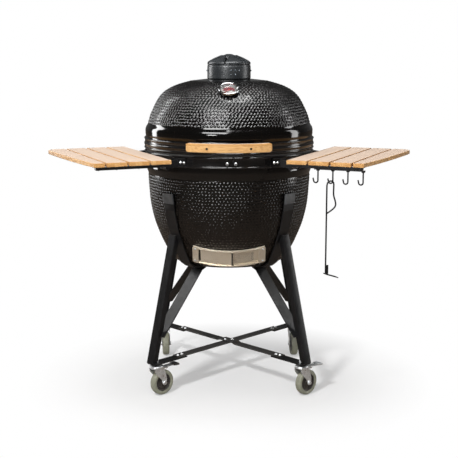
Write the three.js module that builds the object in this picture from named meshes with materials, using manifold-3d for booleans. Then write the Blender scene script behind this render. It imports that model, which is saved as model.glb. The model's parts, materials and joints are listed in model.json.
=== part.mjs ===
// Kamado ceramic grill in a wheeled stand, with two fold-down wooden side shelves.
// Millimetres, +Z up, the cook stands on the -Y side. The origin is on the floor, at the
// middle of the footprint. Inside, each piece is laid out around the egg's upright axis.

import * as THREE from "three";
import { mergeVertices } from "three/addons/utils/BufferGeometryUtils.js";
import Module from "manifold-3d";

const wasm = await Module();
wasm.setup();

// ---------------------------------------------------------------- driving dimensions

const GAP = 0.4; // air between two pieces that touch on the real grill
const EGG_SEGMENTS = 32; // facets around the egg and its rings

// Egg
const RIM_R = 302; // ceramic outer radius at the seam
const WALL = 28; // ceramic wall at the rim
const FOOT_R = 150;
const FOOT_Z = 440;
const BASE_RIM_Z = 847;
const LID_RIM_Z = 861;
const SEAM_Z = (BASE_RIM_Z + LID_RIM_Z) / 2;
const DOME_START_Z = 931;
const NECK_R = 72; // chimney neck that the cap sits over
const NECK_BASE_Z = 1103.5;
const NECK_TOP_Z = 1128;
const FLUE_R = 50;

// Bands and hinge
const BAND_R = 305;
const BAND_EDGE_R = 307;
const BAND_HEIGHT = 40;
const BASE_BAND_Z = 811;
const LID_BAND_Z = 857.5;
const HINGE_Y = 360;
const PIN_R = 5;

// Straight cone of the egg just above its foot, [radius, height] at both ends
const CONE_LOW = [212, 461];
const CONE_HIGH = [243, 521];

// Draft door: curved sheets on that cone, bent round an axis that leans with it. Azimuths in degrees.
const VENT_R = 274;
const VENT_SEGMENTS = 60;
const VENT_HALF_WIDTH = 124;
const VENT_HALF_HEIGHT = 33.7;
const VENT_RAIL = 7;
const OPENING_AZ = [-1.7, 18.3];
const OPENING_HALF_HEIGHT = 19;
const DOOR_AZ = [-20.8, 2.6];
const SCREEN_AZ = [-2.5, 20.3];

// Shelves, in a frame turned so that x points away from the egg and y lies along the slats
const SHELF_AZ = 66.5;
const SHELF_TOP_Z = 847;
const SLAT_THICK = 14;
const SLAT_WIDTH = 70;
const SLAT_GAP = 6;
const SLAT_COUNT = 4;
const SLAT_LENGTH = 517;
const SHELF_INNER_X = 312.4;
const SHELF_FRONT_Y = -243.9;
const SHELF_END_X = 577; // the shelf's width at its front end; the outer edge curves out from there
const FOLD_X = 325;
const FOLD_Z = 820;
const FOLD_TUBE_R = 7;
const FRONT_ARM_Y = -166;
const REAR_ARM_Y = 195;
const HOOK_X = 420;
const HOOK_PITCH = 51;
const WIRE_R = 2.5;

// Stand
const LEG_AZ = 45;
const STRAP_WIDTH = 48;
const PLATE = 4; // sheet thickness of the stand
const LEG_TOP = [272, 565];
const LEG_FOOT = [384, 119];
const FOOT_PLATE_Z = 117;
const STEM_FROM_AXIS = 362; // caster stems, out from the egg's axis

// Casters
const WHEEL_R = 46;
const WHEEL_SEGMENTS = 16;
const TRAIL = 24;
const AXLE_Z = WHEEL_R * Math.cos(Math.PI / WHEEL_SEGMENTS); // the wheel stands on a flat facet
const STEM_R = 6;

// Cap and thermometer
const CAP_R = 78;
const CAP_TURN_Z = 1170; // height of the point the roof turns about
const CAP_SEGMENTS = 24;
const CAP_SLOTS = 6;
const DIAL_R = 36;
const DIAL_STEM_R = 4;
const DIAL_SEAT = [219, 1065.2]; // radius and height where it sits on the dome
const DIAL_TILT = 31.5; // degrees the dial's axis leans from upright towards the front

// ---------------------------------------------------------------- finishes

const FINISH = {
  ceramic: { color: 0x0b0b0c, roughness: 0.12, metalness: 0 },
  bareCeramic: { color: 0xb9ab94, roughness: 0.85, metalness: 0 },
  castIron: { color: 0x2a2b2d, roughness: 0.6, metalness: 0.7 },
  stainless: { color: 0xb8ab97, roughness: 0.32, metalness: 1 },
  chrome: { color: 0xd6d8da, roughness: 0.12, metalness: 1 },
  zinc: { color: 0xaab0b4, roughness: 0.35, metalness: 1 },
  blackSteel: { color: 0x121213, roughness: 0.45, metalness: 0.4 },
  bamboo: { color: 0xd2a468, roughness: 0.5, metalness: 0 },
  felt: { color: 0x3a3835, roughness: 1, metalness: 0 },
  glass: { color: 0xeef4f6, roughness: 0.05, metalness: 0, transparent: true, opacity: 0.35 },
  needle: { color: 0xb3201c, roughness: 0.5, metalness: 0 },
  tyre: { color: 0x96967f, roughness: 0.7, metalness: 0 },
  hub: { color: 0x2a2725, roughness: 0.6, metalness: 0 },
};

// ---------------------------------------------------------------- geometry helpers

const rad = THREE.MathUtils.degToRad;

// One closed skin: shared corners merged, empty triangles dropped, faces pointing out.
function closed(geometry) {
  const bare = new THREE.BufferGeometry();
  bare.setAttribute("position", geometry.getAttribute("position").clone());
  bare.setIndex(geometry.getIndex());
  const skin = mergeVertices(bare, 1e-3);
  const corners = skin.index.array;
  const at = (i) => new THREE.Vector3().fromBufferAttribute(skin.attributes.position, i);
  const kept = [];
  let volume = 0;
  for (let i = 0; i < corners.length; i += 3) {
    const [a, b, c] = corners.slice(i, i + 3);
    if (a !== b && b !== c && c !== a) {
      kept.push([a, b, c]);
      volume += at(a).dot(at(b).cross(at(c)));
    }
  }
  const outward = volume > 0 ? kept : kept.map(([a, b, c]) => [a, c, b]);
  skin.setIndex(outward.flat());
  return skin;
}

function solid(geometry) {
  const skin = closed(geometry);
  return new wasm.Manifold(
    new wasm.Mesh({
      numProp: 3,
      vertProperties: new Float32Array(skin.attributes.position.array),
      triVerts: new Uint32Array(skin.index.array),
    }),
  );
}

function skinOf(manifold) {
  const { numProp, vertProperties, triVerts } = manifold.getMesh();
  const positions = [];
  for (let i = 0; i < vertProperties.length; i += numProp) {
    positions.push(vertProperties[i], vertProperties[i + 1], vertProperties[i + 2]);
  }
  const geometry = new THREE.BufferGeometry();
  geometry.setAttribute("position", new THREE.Float32BufferAttribute(positions, 3));
  geometry.setIndex(Array.from(triVerts));
  return geometry;
}

function join(first, ...rest) {
  return skinOf(rest.reduce((whole, piece) => whole.add(solid(piece)), solid(first)));
}

function cut(stock, ...tools) {
  return skinOf(tools.reduce((whole, tool) => whole.subtract(solid(tool)), solid(stock)));
}

function common(a, b) {
  return skinOf(solid(a).intersect(solid(b)));
}

// A body of revolution about Z from [radius, height] corners. The outline closes on itself
// unless both of its ends are on the axis.
function latheZ(corners, segments = EGG_SEGMENTS) {
  const outline = corners.map(([r, z]) => new THREE.Vector2(r, z));
  const onAxis = corners[0][0] === 0 && corners[corners.length - 1][0] === 0;
  if (!onAxis) outline.push(outline[0].clone());
  return new THREE.LatheGeometry(outline, segments).rotateX(Math.PI / 2);
}

function box(x0, x1, y0, y1, z0, z1) {
  const block = new THREE.BoxGeometry(x1 - x0, y1 - y0, z1 - z0);
  return block.translate((x0 + x1) / 2, (y0 + y1) / 2, (z0 + z1) / 2);
}

function discZ(radius, z0, z1, segments = 16) {
  const disc = new THREE.CylinderGeometry(radius, radius, z1 - z0, segments).rotateX(Math.PI / 2);
  return disc.translate(0, 0, (z0 + z1) / 2);
}

// A round bar from y0 to y1 through (x, z).
function barY(radius, x, z, y0, y1, segments = 12) {
  const bar = new THREE.CylinderGeometry(radius, radius, y1 - y0, segments);
  return bar.translate(x, (y0 + y1) / 2, z);
}

function plateZ(shape, z0, z1, curveSegments = 12) {
  const plate = new THREE.ExtrudeGeometry(shape, { depth: z1 - z0, bevelEnabled: false, curveSegments });
  return plate.translate(0, 0, z0);
}

// An outline in the XZ plane, given thickness along Y from y0 to y1.
function plateY(shape, y0, y1) {
  const plate = new THREE.ExtrudeGeometry(shape, { depth: y1 - y0, bevelEnabled: false });
  return plate.rotateX(Math.PI / 2).translate(0, y1, 0);
}

function polygon(corners) {
  return new THREE.Shape(corners.map(([x, y]) => new THREE.Vector2(x, y)));
}

function circle(radius, count) {
  const angles = Array.from({ length: count }, (_, i) => (2 * Math.PI * i) / count);
  return polygon(angles.map((a) => [radius * Math.cos(a), radius * Math.sin(a)]));
}

// Azimuths are in degrees from the front (-Y), growing towards +X.
function aroundZ(az, radius) {
  return [radius * Math.sin(rad(az)), -radius * Math.cos(rad(az))];
}

// A curved upright plate that follows the egg between two azimuths.
function arcPlate(rIn, rOut, az0, az1, z0, z1, steps = 6) {
  const stops = Array.from({ length: steps + 1 }, (_, i) => az0 + ((az1 - az0) * i) / steps);
  const outer = stops.map((az) => aroundZ(az, rOut));
  const inner = stops.map((az) => aroundZ(az, rIn)).reverse();
  return plateZ(polygon([...outer, ...inner]), z0, z1);
}

// A wedge from the axis out past everything, between two azimuths.
function sector(az0, az1, z0, z1) {
  const reach = 400;
  const rim = [az0, (az0 + az1) / 2, az1].map((az) => aroundZ(az, reach));
  return plateZ(polygon([[0, 0], ...rim]), z0, z1);
}

// The outline of a flat bar of even thickness bent along a path of [x, z] points.
function ribbon(path, thickness) {
  const points = path.map(([x, z]) => new THREE.Vector2(x, z));
  const side = points.map((point, i) => {
    const before = points[Math.max(i - 1, 0)];
    const after = points[Math.min(i + 1, points.length - 1)];
    const into = point.clone().sub(before);
    const out = after.clone().sub(point);
    const first = (into.length() ? into : out).clone().normalize();
    const second = (out.length() ? out : into).clone().normalize();
    const middle = first.clone().add(second).normalize();
    const mitre = thickness / 2 / middle.dot(first);
    return new THREE.Vector2(-middle.y, middle.x).multiplyScalar(mitre);
  });
  const left = points.map((point, i) => point.clone().add(side[i]));
  const right = points.map((point, i) => point.clone().sub(side[i])).reverse();
  return new THREE.Shape([...left, ...right]);
}

function wire(points, radius, steps, sides = 6) {
  const path = new THREE.CatmullRomCurve3(points.map((p) => new THREE.Vector3(...p)), false, "centripetal");
  return new THREE.ExtrudeGeometry(circle(radius, sides), { steps, extrudePath: path });
}

class Coil extends THREE.Curve {
  constructor(radius, x0, x1, turns) {
    super();
    Object.assign(this, { radius, x0, x1, turns });
  }

  getPoint(t, target = new THREE.Vector3()) {
    const angle = 2 * Math.PI * this.turns * t;
    const x = THREE.MathUtils.lerp(this.x0, this.x1, t);
    return target.set(x, this.radius * Math.cos(angle), this.radius * Math.sin(angle));
  }
}

function splinePoints(corners, count) {
  const curve = new THREE.SplineCurve(corners.map(([x, y]) => new THREE.Vector2(x, y)));
  return curve.getSpacedPoints(count).map((p) => [p.x, p.y]);
}

function add(parent, name, geometry, finish) {
  const mesh = new THREE.Mesh(closed(geometry), new THREE.MeshStandardMaterial(FINISH[finish]));
  mesh.name = name;
  parent.add(mesh);
  return mesh;
}

// A group at a pivot. Its pieces are drawn around the egg's axis and moved back by the same amount.
function pivot(parent, name, x, y, z) {
  const group = new THREE.Group();
  group.name = name;
  group.position.set(x, y, z);
  parent.add(group);
  return group;
}

function addAtPivot(group, name, geometry, finish) {
  const { x, y, z } = group.position;
  return add(group, name, geometry.clone().translate(-x, -y, -z), finish);
}

// ---------------------------------------------------------------- ceramic egg

function baseShell() {
  const flank = splinePoints([CONE_HIGH, [270, 589], [286, 656], [292, 723], [294, 768]], 5);
  const rim = [[RIM_R, 790], [RIM_R, BASE_RIM_Z]];
  const outside = [[0, FOOT_Z], [FOOT_R, FOOT_Z], [194, 448], CONE_LOW, ...flank, ...rim];
  const bowl = splinePoints([[RIM_R - WALL, BASE_RIM_Z], [268, 730], [250, 620], [212, 510], [180, 474]], 4);
  const shell = latheZ([...outside, ...bowl, [140, 466], [0, 466]]);
  return cut(shell, onVentAxis(ventOpening()));
}

function lidShell() {
  const shoulder = [[279, 989], [247, 1045], [203, 1075.5], [136, 1096], [84, 1102.8]];
  const dome = splinePoints([[RIM_R, DOME_START_Z], ...shoulder], 9);
  const outside = [[RIM_R, LID_RIM_Z], ...dome, [NECK_R, NECK_BASE_Z], [NECK_R, NECK_TOP_Z]];
  const vault = [[120, 1073], [190, 1050], [240, 1008], [268, 940]];
  const ceiling = splinePoints([[FLUE_R, 1082], ...vault, [RIM_R - WALL, LID_RIM_Z]], 6);
  const shell = latheZ([...outside, [FLUE_R, NECK_TOP_Z], ...ceiling]);
  const stemHole = onDialAxis(discZ(DIAL_STEM_R + 1, -60, 20, 12));
  return cut(shell, stemHole);
}

function firebox() {
  const bowl = latheZ([
    [105, 468], [185, 492], [226, 560], [242, 640], [246, 760],
    [220, 760], [214, 640], [194, 560], [152, 519], [105, 505],
  ]);
  const ashDoor = box(-60, 60, -260, -90, 460, 502);
  const airHoles = [60, 120, 180, 240, 300].map((az) => {
    const [x, y] = aroundZ(az, 225);
    return discZ(10, -45, 45, 8).rotateX(Math.PI / 2).rotateZ(rad(az)).translate(x, y, 600);
  });
  return cut(bowl, ashDoor, ...airHoles);
}

function charcoalGrate() {
  const disc = circle(146, 32);
  const slotRows = 4; // on each side of the middle one
  const pitch = 27;
  for (let row = -slotRows; row <= slotRows; row += 1) {
    const y = row * pitch;
    const half = Math.sqrt(130 ** 2 - y ** 2);
    const slot = polygon([[-half, y - 7], [half, y - 7], [half, y + 7], [-half, y + 7]]);
    disc.holes.push(new THREE.Path(slot.getPoints()));
  }
  return plateZ(disc, 520, 528);
}

function cookingGrid() {
  const hoop = latheZ([[250, 842.5], [256, 842.5], [256, 849], [250, 849]]);
  const bars = [];
  const barRows = 6; // on each side of the middle one
  const pitch = 36;
  for (let row = -barRows; row <= barRows; row += 1) {
    const y = row * pitch;
    const half = Math.sqrt(253 ** 2 - y ** 2);
    bars.push(box(-half, half, y - 2.5, y + 2.5, 843, 848));
  }
  return join(hoop, ...bars);
}

// A rolled-edge steel band around the rim of one egg half.
function band(z) {
  const inner = RIM_R + GAP;
  const top = z + BAND_HEIGHT;
  return latheZ([
    [inner, z], [BAND_EDGE_R, z], [BAND_EDGE_R, z + 5], [BAND_R, z + 7],
    [BAND_R, top - 7], [BAND_EDGE_R, top - 5], [BAND_EDGE_R, top], [inner, top],
  ]);
}

function gasket(z0, z1) {
  return latheZ([[278, z0], [299, z0], [299, z1], [278, z1]]);
}

// ---------------------------------------------------------------- hinge and handle

const LUG_R = 17;
const LUG_X = 70; // outer face of the base bracket's lugs
const ARM_X = 58; // outer face of the lid bracket's arms

// A lug around the hinge pin, reaching forwards to the plate on the band.
function hingeLug(x0, x1, reachZ0, reachZ1) {
  const rootY = Math.sqrt((BAND_EDGE_R + GAP + 2) ** 2 - Math.max(x0 ** 2, x1 ** 2));
  const lug = new THREE.Shape();
  lug.moveTo(rootY, reachZ0);
  lug.lineTo(HINGE_Y, SEAM_Z - LUG_R);
  lug.absarc(HINGE_Y, SEAM_Z, LUG_R, -Math.PI / 2, Math.PI / 2, false);
  lug.lineTo(rootY, reachZ1);
  const plate = new THREE.ExtrudeGeometry(lug, { depth: x1 - x0, bevelEnabled: false, curveSegments: 6 });
  return plate.rotateX(Math.PI / 2).rotateZ(Math.PI / 2).translate(x0, 0, 0);
}

function pinBore(x0, x1) {
  const bore = new THREE.CylinderGeometry(PIN_R + GAP, PIN_R + GAP, x1 - x0, 16).rotateZ(Math.PI / 2);
  return bore.translate((x0 + x1) / 2, HINGE_Y, SEAM_Z);
}

function hingeBracket(outerX, plateZ0, plateZ1, reachZ0, reachZ1, spread) {
  const inner = BAND_EDGE_R + GAP;
  const seat = arcPlate(inner, inner + 3.5, 180 - spread, 180 + spread, plateZ0, plateZ1, 8);
  const right = hingeLug(outerX - 5, outerX, reachZ0, reachZ1);
  const left = hingeLug(-outerX, -outerX + 5, reachZ0, reachZ1);
  return cut(join(seat, right, left), pinBore(-outerX - 1, outerX + 1));
}

function hingePin() {
  const pin = new THREE.CylinderGeometry(PIN_R, PIN_R, 2 * LUG_X + 14, 12).rotateZ(Math.PI / 2);
  const heads = [-1, 1].map((side) => {
    const head = new THREE.CylinderGeometry(9, 9, 5, 12).rotateZ(Math.PI / 2);
    return head.translate(side * (LUG_X + 4), 0, 0);
  });
  return join(pin, ...heads).translate(0, HINGE_Y, SEAM_Z);
}

// Double torsion spring: two coils round the pin, bridged by a loop that pushes on the lid bracket.
function hingeSpring() {
  const wireR = 2;
  const coilR = 9.5;
  const inner = 14; // the coils' ends nearest the middle
  const outer = 46;
  const coils = [[-outer, -inner], [inner, outer]].map(([x0, x1]) => {
    const path = new Coil(coilR, x0, x1, 4);
    return new THREE.ExtrudeGeometry(circle(wireR, 4), { steps: 32, extrudePath: path });
  });
  const arm = [[inner, coilR, 0], [inner, 7, 7], [inner, 0, coilR + 1], [13, -20, 12], [11, -38, 13]];
  const otherArm = arm.map(([x, y, z]) => [-x, y, z]).reverse();
  const loop = wire([...arm, ...otherArm], wireR, 22, 4);
  return join(...coils, loop).translate(0, HINGE_Y, SEAM_Z);
}

const HANDLE_Z = 886;
const HANDLE_R = 343;
const HANDLE_HALF_DEPTH = 12;
const HANDLE_SPAN = 24; // degrees from the middle to each end
const HANDLE_SCREW_AZ = 12;

function handleGrip() {
  const bevel = 4;
  const endAz = HANDLE_SPAN - (180 / Math.PI) * (bevel / HANDLE_R);
  const steps = 12;
  const stops = Array.from({ length: steps + 1 }, (_, i) => endAz * ((2 * i) / steps - 1));
  const outer = stops.map((az) => aroundZ(az, HANDLE_R + HANDLE_HALF_DEPTH - bevel));
  const inner = stops.map((az) => aroundZ(az, HANDLE_R - HANDLE_HALF_DEPTH + bevel)).reverse();
  const height = 31 - 2 * bevel;
  const grip = new THREE.ExtrudeGeometry(polygon([...outer, ...inner]), {
    depth: height, bevelSize: bevel, bevelThickness: bevel, bevelSegments: 2,
  });
  return grip.translate(0, 0, HANDLE_Z - height / 2);
}

function handleBracket() {
  const front = HANDLE_R - HANDLE_HALF_DEPTH - GAP;
  const back = arcPlate(front - 3.6, front, -18, 18, HANDLE_Z - 9, HANDLE_Z + 9, 8);
  const feet = [-1, 1].map((side) => {
    const az = side * HANDLE_SCREW_AZ;
    return arcPlate(BAND_R + GAP, front - 1.6, az - 2.4, az + 2.4, HANDLE_Z - 9, HANDLE_Z + 4, 2);
  });
  return join(back, ...feet);
}

// ---------------------------------------------------------------- cap and thermometer

function aroundCap(geometry) {
  const turns = Array.from({ length: CAP_SLOTS }, (_, i) => rad(-90 + (360 / CAP_SLOTS) * i));
  return turns.map((turn) => geometry.clone().rotateZ(turn));
}

function capBase() {
  const hood = latheZ([
    [CAP_R, 1104], [CAP_R, 1153], [75, 1153], [49, 1167], [8, 1178.5],
    [8, 1174.5], [47, 1162.5], [73.5, 1149], [73.5, 1104],
  ], CAP_SEGMENTS);
  const slot = box(26, 62, -5, 5, 1150, 1190);
  return cut(hood, ...aroundCap(slot));
}

// The roof has a slot over each one in the base, running out through the rim, with a fin beside it.
function capTop() {
  const roof = latheZ([
    [0, 1191], [13, 1190], [33, 1182], [52, 1175], [69, 1167.5], [76, 1163.5], [77.5, 1160],
    [77.5, 1154.4], [76, 1154.4], [74.5, 1156.2], [50, 1169], [12, 1180.5], [0, 1180.5],
  ], CAP_SEGMENTS);
  const slot = box(26, 90, -3.5, 3.5, 1150, 1195);
  const fin = plateY(ribbon([[22, 1185.5], [52, 1174], [74, 1163]], 7), 4.2, 7.2);
  return join(cut(roof, ...aroundCap(slot)), ...aroundCap(fin));
}

function onDialAxis(geometry) {
  const [r, z] = DIAL_SEAT;
  return geometry.rotateX(rad(DIAL_TILT)).translate(0, -r, z);
}

function thermometerCase() {
  return latheZ([
    [0, -58], [3, -55], [DIAL_STEM_R, -50], [DIAL_STEM_R, 2], [27, 2], [34, 5],
    [DIAL_R, 9], [DIAL_R, 14], [34, 16], [31, 16], [31, 6], [0, 6],
  ], 24);
}

// The needle rests at the cold end of the scale, at the lower left.
function thermometerNeedle() {
  const pointer = plateZ(polygon([[-1.6, -6], [1.6, -6], [0.6, 25], [-0.6, 25]]), 7.8, 9.2);
  return join(discZ(4, 7.5, 9.5, 10), pointer).rotateZ(rad(135));
}

// ---------------------------------------------------------------- draft door

// The sheets' common axis leans back, square to the cone where it meets the middle of the plate.
const VENT_LEAN = Math.atan2(CONE_HIGH[0] - CONE_LOW[0], CONE_HIGH[1] - CONE_LOW[1]);
const VENT_Y = VENT_R * Math.cos(VENT_LEAN) - (CONE_LOW[0] + CONE_HIGH[0]) / 2;
const VENT_Z = VENT_R * Math.sin(VENT_LEAN) + (CONE_LOW[1] + CONE_HIGH[1]) / 2;
const PANEL_HALF_HEIGHT = VENT_HALF_HEIGHT - VENT_RAIL;

function onVentAxis(geometry) {
  return geometry.rotateX(VENT_LEAN).translate(0, VENT_Y, VENT_Z);
}

function ventOpening() {
  return sector(...OPENING_AZ, -OPENING_HALF_HEIGHT, OPENING_HALF_HEIGHT);
}

// A sheet that stands off the plate's seat by a to b.
function ventRing(a, b, z0, z1) {
  const [inner, outer] = [VENT_R + a, VENT_R + b];
  return latheZ([[inner, z0], [outer, z0], [outer, z1], [inner, z1]], VENT_SEGMENTS);
}

function ventPatch(a, b, az0, az1, halfHeight) {
  const ring = ventRing(a, b, -halfHeight, halfHeight);
  return common(ring, sector(az0, az1, -halfHeight - 1, halfHeight + 1));
}

function ventFrame() {
  const half = VENT_HALF_HEIGHT;
  const back = cut(ventRing(1, 2, -half, half), ventOpening());
  const lowRail = ventRing(1.2, 7, -half, -PANEL_HALF_HEIGHT - GAP);
  const highRail = ventRing(1.2, 7, PANEL_HALF_HEIGHT + GAP, half);
  const covers = [[-34, -22.4], [21.3, 34]].map(([az0, az1]) => ventPatch(6, 7, az0, az1, half));
  const ring = join(back, lowRail, highRail, ...covers);
  return common(ring, box(-VENT_HALF_WIDTH, VENT_HALF_WIDTH, -300, -100, -half - 1, half + 1));
}

function ventDoor() {
  const [, edge] = DOOR_AZ;
  const panel = ventPatch(4.2, 5.4, ...DOOR_AZ, PANEL_HALF_HEIGHT);
  const tab = ventPatch(5.2, 14, edge - 0.75, edge, PANEL_HALF_HEIGHT - 5);
  return join(panel, tab);
}

function ventScreen() {
  const panel = ventPatch(2.6, 3.6, ...SCREEN_AZ, PANEL_HALF_HEIGHT);
  const slots = [];
  for (let az = 1; az <= 16; az += 2.5) {
    slots.push(sector(az - 0.65, az + 0.65, -15, 15));
  }
  return cut(panel, ...slots);
}

// ---------------------------------------------------------------- shelves

const slatBottom = SHELF_TOP_Z - SLAT_THICK;
const shelfRearY = SHELF_FRONT_Y + SLAT_LENGTH;
const shelfMiddleY = (SHELF_FRONT_Y + shelfRearY) / 2;
const shelfOuterX = SHELF_INNER_X + SLAT_COUNT * SLAT_WIDTH + (SLAT_COUNT - 1) * SLAT_GAP;

// A shelf is drawn for the right side of the grill. side is -1 for its mirror image.
function mirrored(geometry, side) {
  return side > 0 ? geometry : closed(geometry).scale(1, -1, 1);
}

function slat(index) {
  const x0 = SHELF_INNER_X + index * (SLAT_WIDTH + SLAT_GAP);
  const x1 = x0 + SLAT_WIDTH;
  if (index < SLAT_COUNT - 1) return box(x0, x1, SHELF_FRONT_Y, shelfRearY, slatBottom, SHELF_TOP_Z);
  const corner = 42;
  const outline = new THREE.Shape();
  outline.moveTo(x0, SHELF_FRONT_Y);
  outline.lineTo(SHELF_END_X, SHELF_FRONT_Y);
  outline.quadraticCurveTo(shelfOuterX - 6, shelfMiddleY - 60, shelfOuterX, shelfRearY - corner);
  outline.quadraticCurveTo(shelfOuterX, shelfRearY, shelfOuterX - corner, shelfRearY);
  outline.lineTo(x0, shelfRearY);
  return plateZ(outline, slatBottom, SHELF_TOP_Z, 6);
}

function shelfFrame() {
  const top = slatBottom - GAP;
  const rails = [SHELF_FRONT_Y + 2, shelfRearY - 20].map((y) =>
    box(SHELF_INNER_X + 4, SHELF_END_X - 6, y, y + 18, top - 9, top),
  );
  const tube = barY(FOLD_TUBE_R, FOLD_X, FOLD_Z, SHELF_FRONT_Y + 6, shelfRearY - 6);
  const stays = [SHELF_INNER_X + 150, SHELF_END_X - 30].map((x) =>
    box(x, x + 16, SHELF_FRONT_Y + 5, shelfRearY - 5, top - 6, top - 0.5),
  );
  return join(rails[0], rails[1], tube, ...stays);
}

// An arm bolted to the base band; its eye holds the shelf's fold tube.
function shelfBracket(y) {
  const eyeR = 11.5;
  const reach = Math.sqrt(BAND_R ** 2 - y ** 2);
  const root = [[reach + 5, FOLD_Z + 20], [reach + 5, FOLD_Z - 6]];
  const end = [[FOLD_X, FOLD_Z - eyeR], [FOLD_X, FOLD_Z + eyeR - 1]];
  const arm = plateY(polygon([...root, ...end]), y - 3, y + 3);
  const eye = barY(eyeR, FOLD_X, FOLD_Z, y - 8, y + 8, 16);
  const az = (Math.atan2(y, reach) * 180) / Math.PI;
  const inner = BAND_EDGE_R + GAP;
  const seat = arcPlate(inner, inner + 4, 90 + az - 5, 90 + az + 5, FOLD_Z - 5, FOLD_Z + 24, 4);
  return cut(join(arm, eye, seat), barY(FOLD_TUBE_R + GAP, FOLD_X, FOLD_Z, y - 10, y + 10, 16));
}

const HOOK_TOP_Z = slatBottom - GAP - 9 - GAP;
const HOOK_BEND_R = 7.5;
const HOOK_BEND_Z = 784;
const HOOK_Y = SHELF_FRONT_Y + 10;

function hookStrip() {
  const end = HOOK_X + 3 * HOOK_PITCH + 6;
  const strip = box(HOOK_X - 12, end, HOOK_Y - 7, HOOK_Y + 7, HOOK_TOP_Z - 3, HOOK_TOP_Z);
  const hooks = [0, 1, 2, 3].map((i) => {
    const x = HOOK_X + i * HOOK_PITCH;
    const shank = discZ(WIRE_R, HOOK_BEND_Z, HOOK_TOP_Z - 1.5, 6).translate(x, HOOK_Y, 0);
    const turn = [0, 45, 90, 135, 180].map((angle) => [
      x - HOOK_BEND_R * (1 - Math.cos(rad(angle))), HOOK_Y, HOOK_BEND_Z - HOOK_BEND_R * Math.sin(rad(angle)),
    ]);
    const start = [x, HOOK_Y, HOOK_BEND_Z + 4];
    const tip = [x - 2 * HOOK_BEND_R - 2, HOOK_Y, HOOK_BEND_Z + 8];
    return join(shank, wire([start, ...turn, tip], WIRE_R, 9, 6));
  });
  return join(strip, ...hooks);
}

// The ash tool hangs in the second hook: a wire with a closed grip and a flat blade at its foot.
// It is drawn about its seat in the hook, in a plane turned away from the hook's own.
const TOOL_TURN = 45;
const TOOL_SEAT = [
  HOOK_X + HOOK_PITCH - HOOK_BEND_R,
  HOOK_Y,
  HOOK_BEND_Z - HOOK_BEND_R + 2 * WIRE_R + 2.6,
];

function ashTool() {
  const foot = -310;
  const shaft = discZ(WIRE_R + 0.3, foot, -20, 6).translate(-13, 0, 0);
  const grip = wire([
    [-13, 0, -24], [-13, 0, -14], [-9.5, 0, -4], [0, 0, 0], [9.5, 0, -4], [12, 0, -14],
    [12, 0, -45], [19, 0, -68], [20, 0, -80], [12, 0, -92], [-13, 0, -108],
  ], WIRE_R, 30, 5);
  const tab = box(-15, -3, -1.6, 1.6, foot, foot + 30);
  const blade = plateY(ribbon([[-16, foot + 1], [30, foot - 14]], 3), -12, 12);
  return join(grip, shaft, tab, blade).rotateZ(rad(TOOL_TURN));
}

// ---------------------------------------------------------------- stand

// A leg in its own radial plane: x away from the egg's axis, y towards growing azimuth.
// A strap cradles the egg down to its foot, a strut runs from there to the angle-section leg.
function standLeg(side) {
  const halfWidth = STRAP_WIDTH / 2;
  const strapPath = [
    [296, 714], [290.5, 656], [275, 589], [249, 523], [219, 460], [196, 443.5], [140, 435.5],
  ];
  const strap = plateY(ribbon(strapPath, PLATE), -halfWidth, halfWidth);
  const strutPath = [[140, 436], [160, 428], [346, 213]];
  const strut = plateY(ribbon(strutPath, PLATE), -halfWidth, halfWidth);
  const spine = -6 * side;
  const outerEdge = halfWidth * side;
  const across = [Math.min(spine, outerEdge), Math.max(spine, outerEdge)];
  const face = plateY(ribbon([LEG_TOP, LEG_FOOT], PLATE), ...across);
  const [footX, footZ] = LEG_FOOT;
  const flangeShape = polygon([[266, 567], LEG_TOP, LEG_FOOT, [footX - 20, footZ], [258.5, 540]]);
  const flange = plateY(flangeShape, spine - PLATE / 2, spine + PLATE / 2);
  const footPlate = box(232, footX + 2, -20, 20, FOOT_PLATE_Z, FOOT_PLATE_Z + PLATE);
  const stemHole = discZ(STEM_R + GAP, FOOT_PLATE_Z - 2, FOOT_PLATE_Z + 20);
  stemHole.translate(STEM_FROM_AXIS, 0, 0);
  return cut(join(strap, strut, face, flange, footPlate), stemHole);
}

// Cross bars lie on the foot plates; the second one steps over the first in the middle.
function crossBar(stepsOver) {
  const z = FOOT_PLATE_Z + PLATE + GAP + PLATE / 2;
  const raised = z + PLATE + GAP;
  const step = [[-45, z], [-32, raised], [32, raised], [45, z]];
  const path = [[-268, z], ...(stepsOver ? step : []), [268, z]];
  return plateY(ribbon(path, PLATE), -18, 18);
}

// ---------------------------------------------------------------- casters

// A caster in its own frame: the stem on the z axis, the wheel trailing towards +x.
const FORK_HALF = 15.5;

function casterFork() {
  const race = latheZ([[0, 104], [24, 104], [26, 111], [STEM_R, 114], [STEM_R, 128], [0, 128]], 12);
  const toe = [[9, 4], [6, -8], [-6, -8], [-10, 4]].map(([x, z]) => [TRAIL + x, AXLE_Z + z]);
  const cheek = [[-17, 106], [20, 106], ...toe, [-17, 92]];
  const cheeks = [-1, 1].map((side) => {
    const y = side * FORK_HALF;
    return plateY(polygon(cheek), y - 1.2, y + 1.2);
  });
  const axle = barY(4, TRAIL, AXLE_Z, -FORK_HALF - 4, FORK_HALF + 4, 8);
  return join(race, ...cheeks, axle);
}

function ringY(corners) {
  const ring = latheZ(corners, WHEEL_SEGMENTS).rotateX(Math.PI / 2);
  return ring.rotateY(Math.PI / WHEEL_SEGMENTS).translate(TRAIL, 0, AXLE_Z);
}

function tyre() {
  return ringY([[31.5, -11], [42, -13], [WHEEL_R, -8], [WHEEL_R, 8], [42, 13], [31.5, 11]]);
}

function hub() {
  return ringY([[4.6, -13.5], [12, -13.5], [31, -8], [31, 8], [12, 13.5], [4.6, 13.5]]);
}

const BRAKE_X = 28;
const BRAKE_Z = 99.5;

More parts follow.
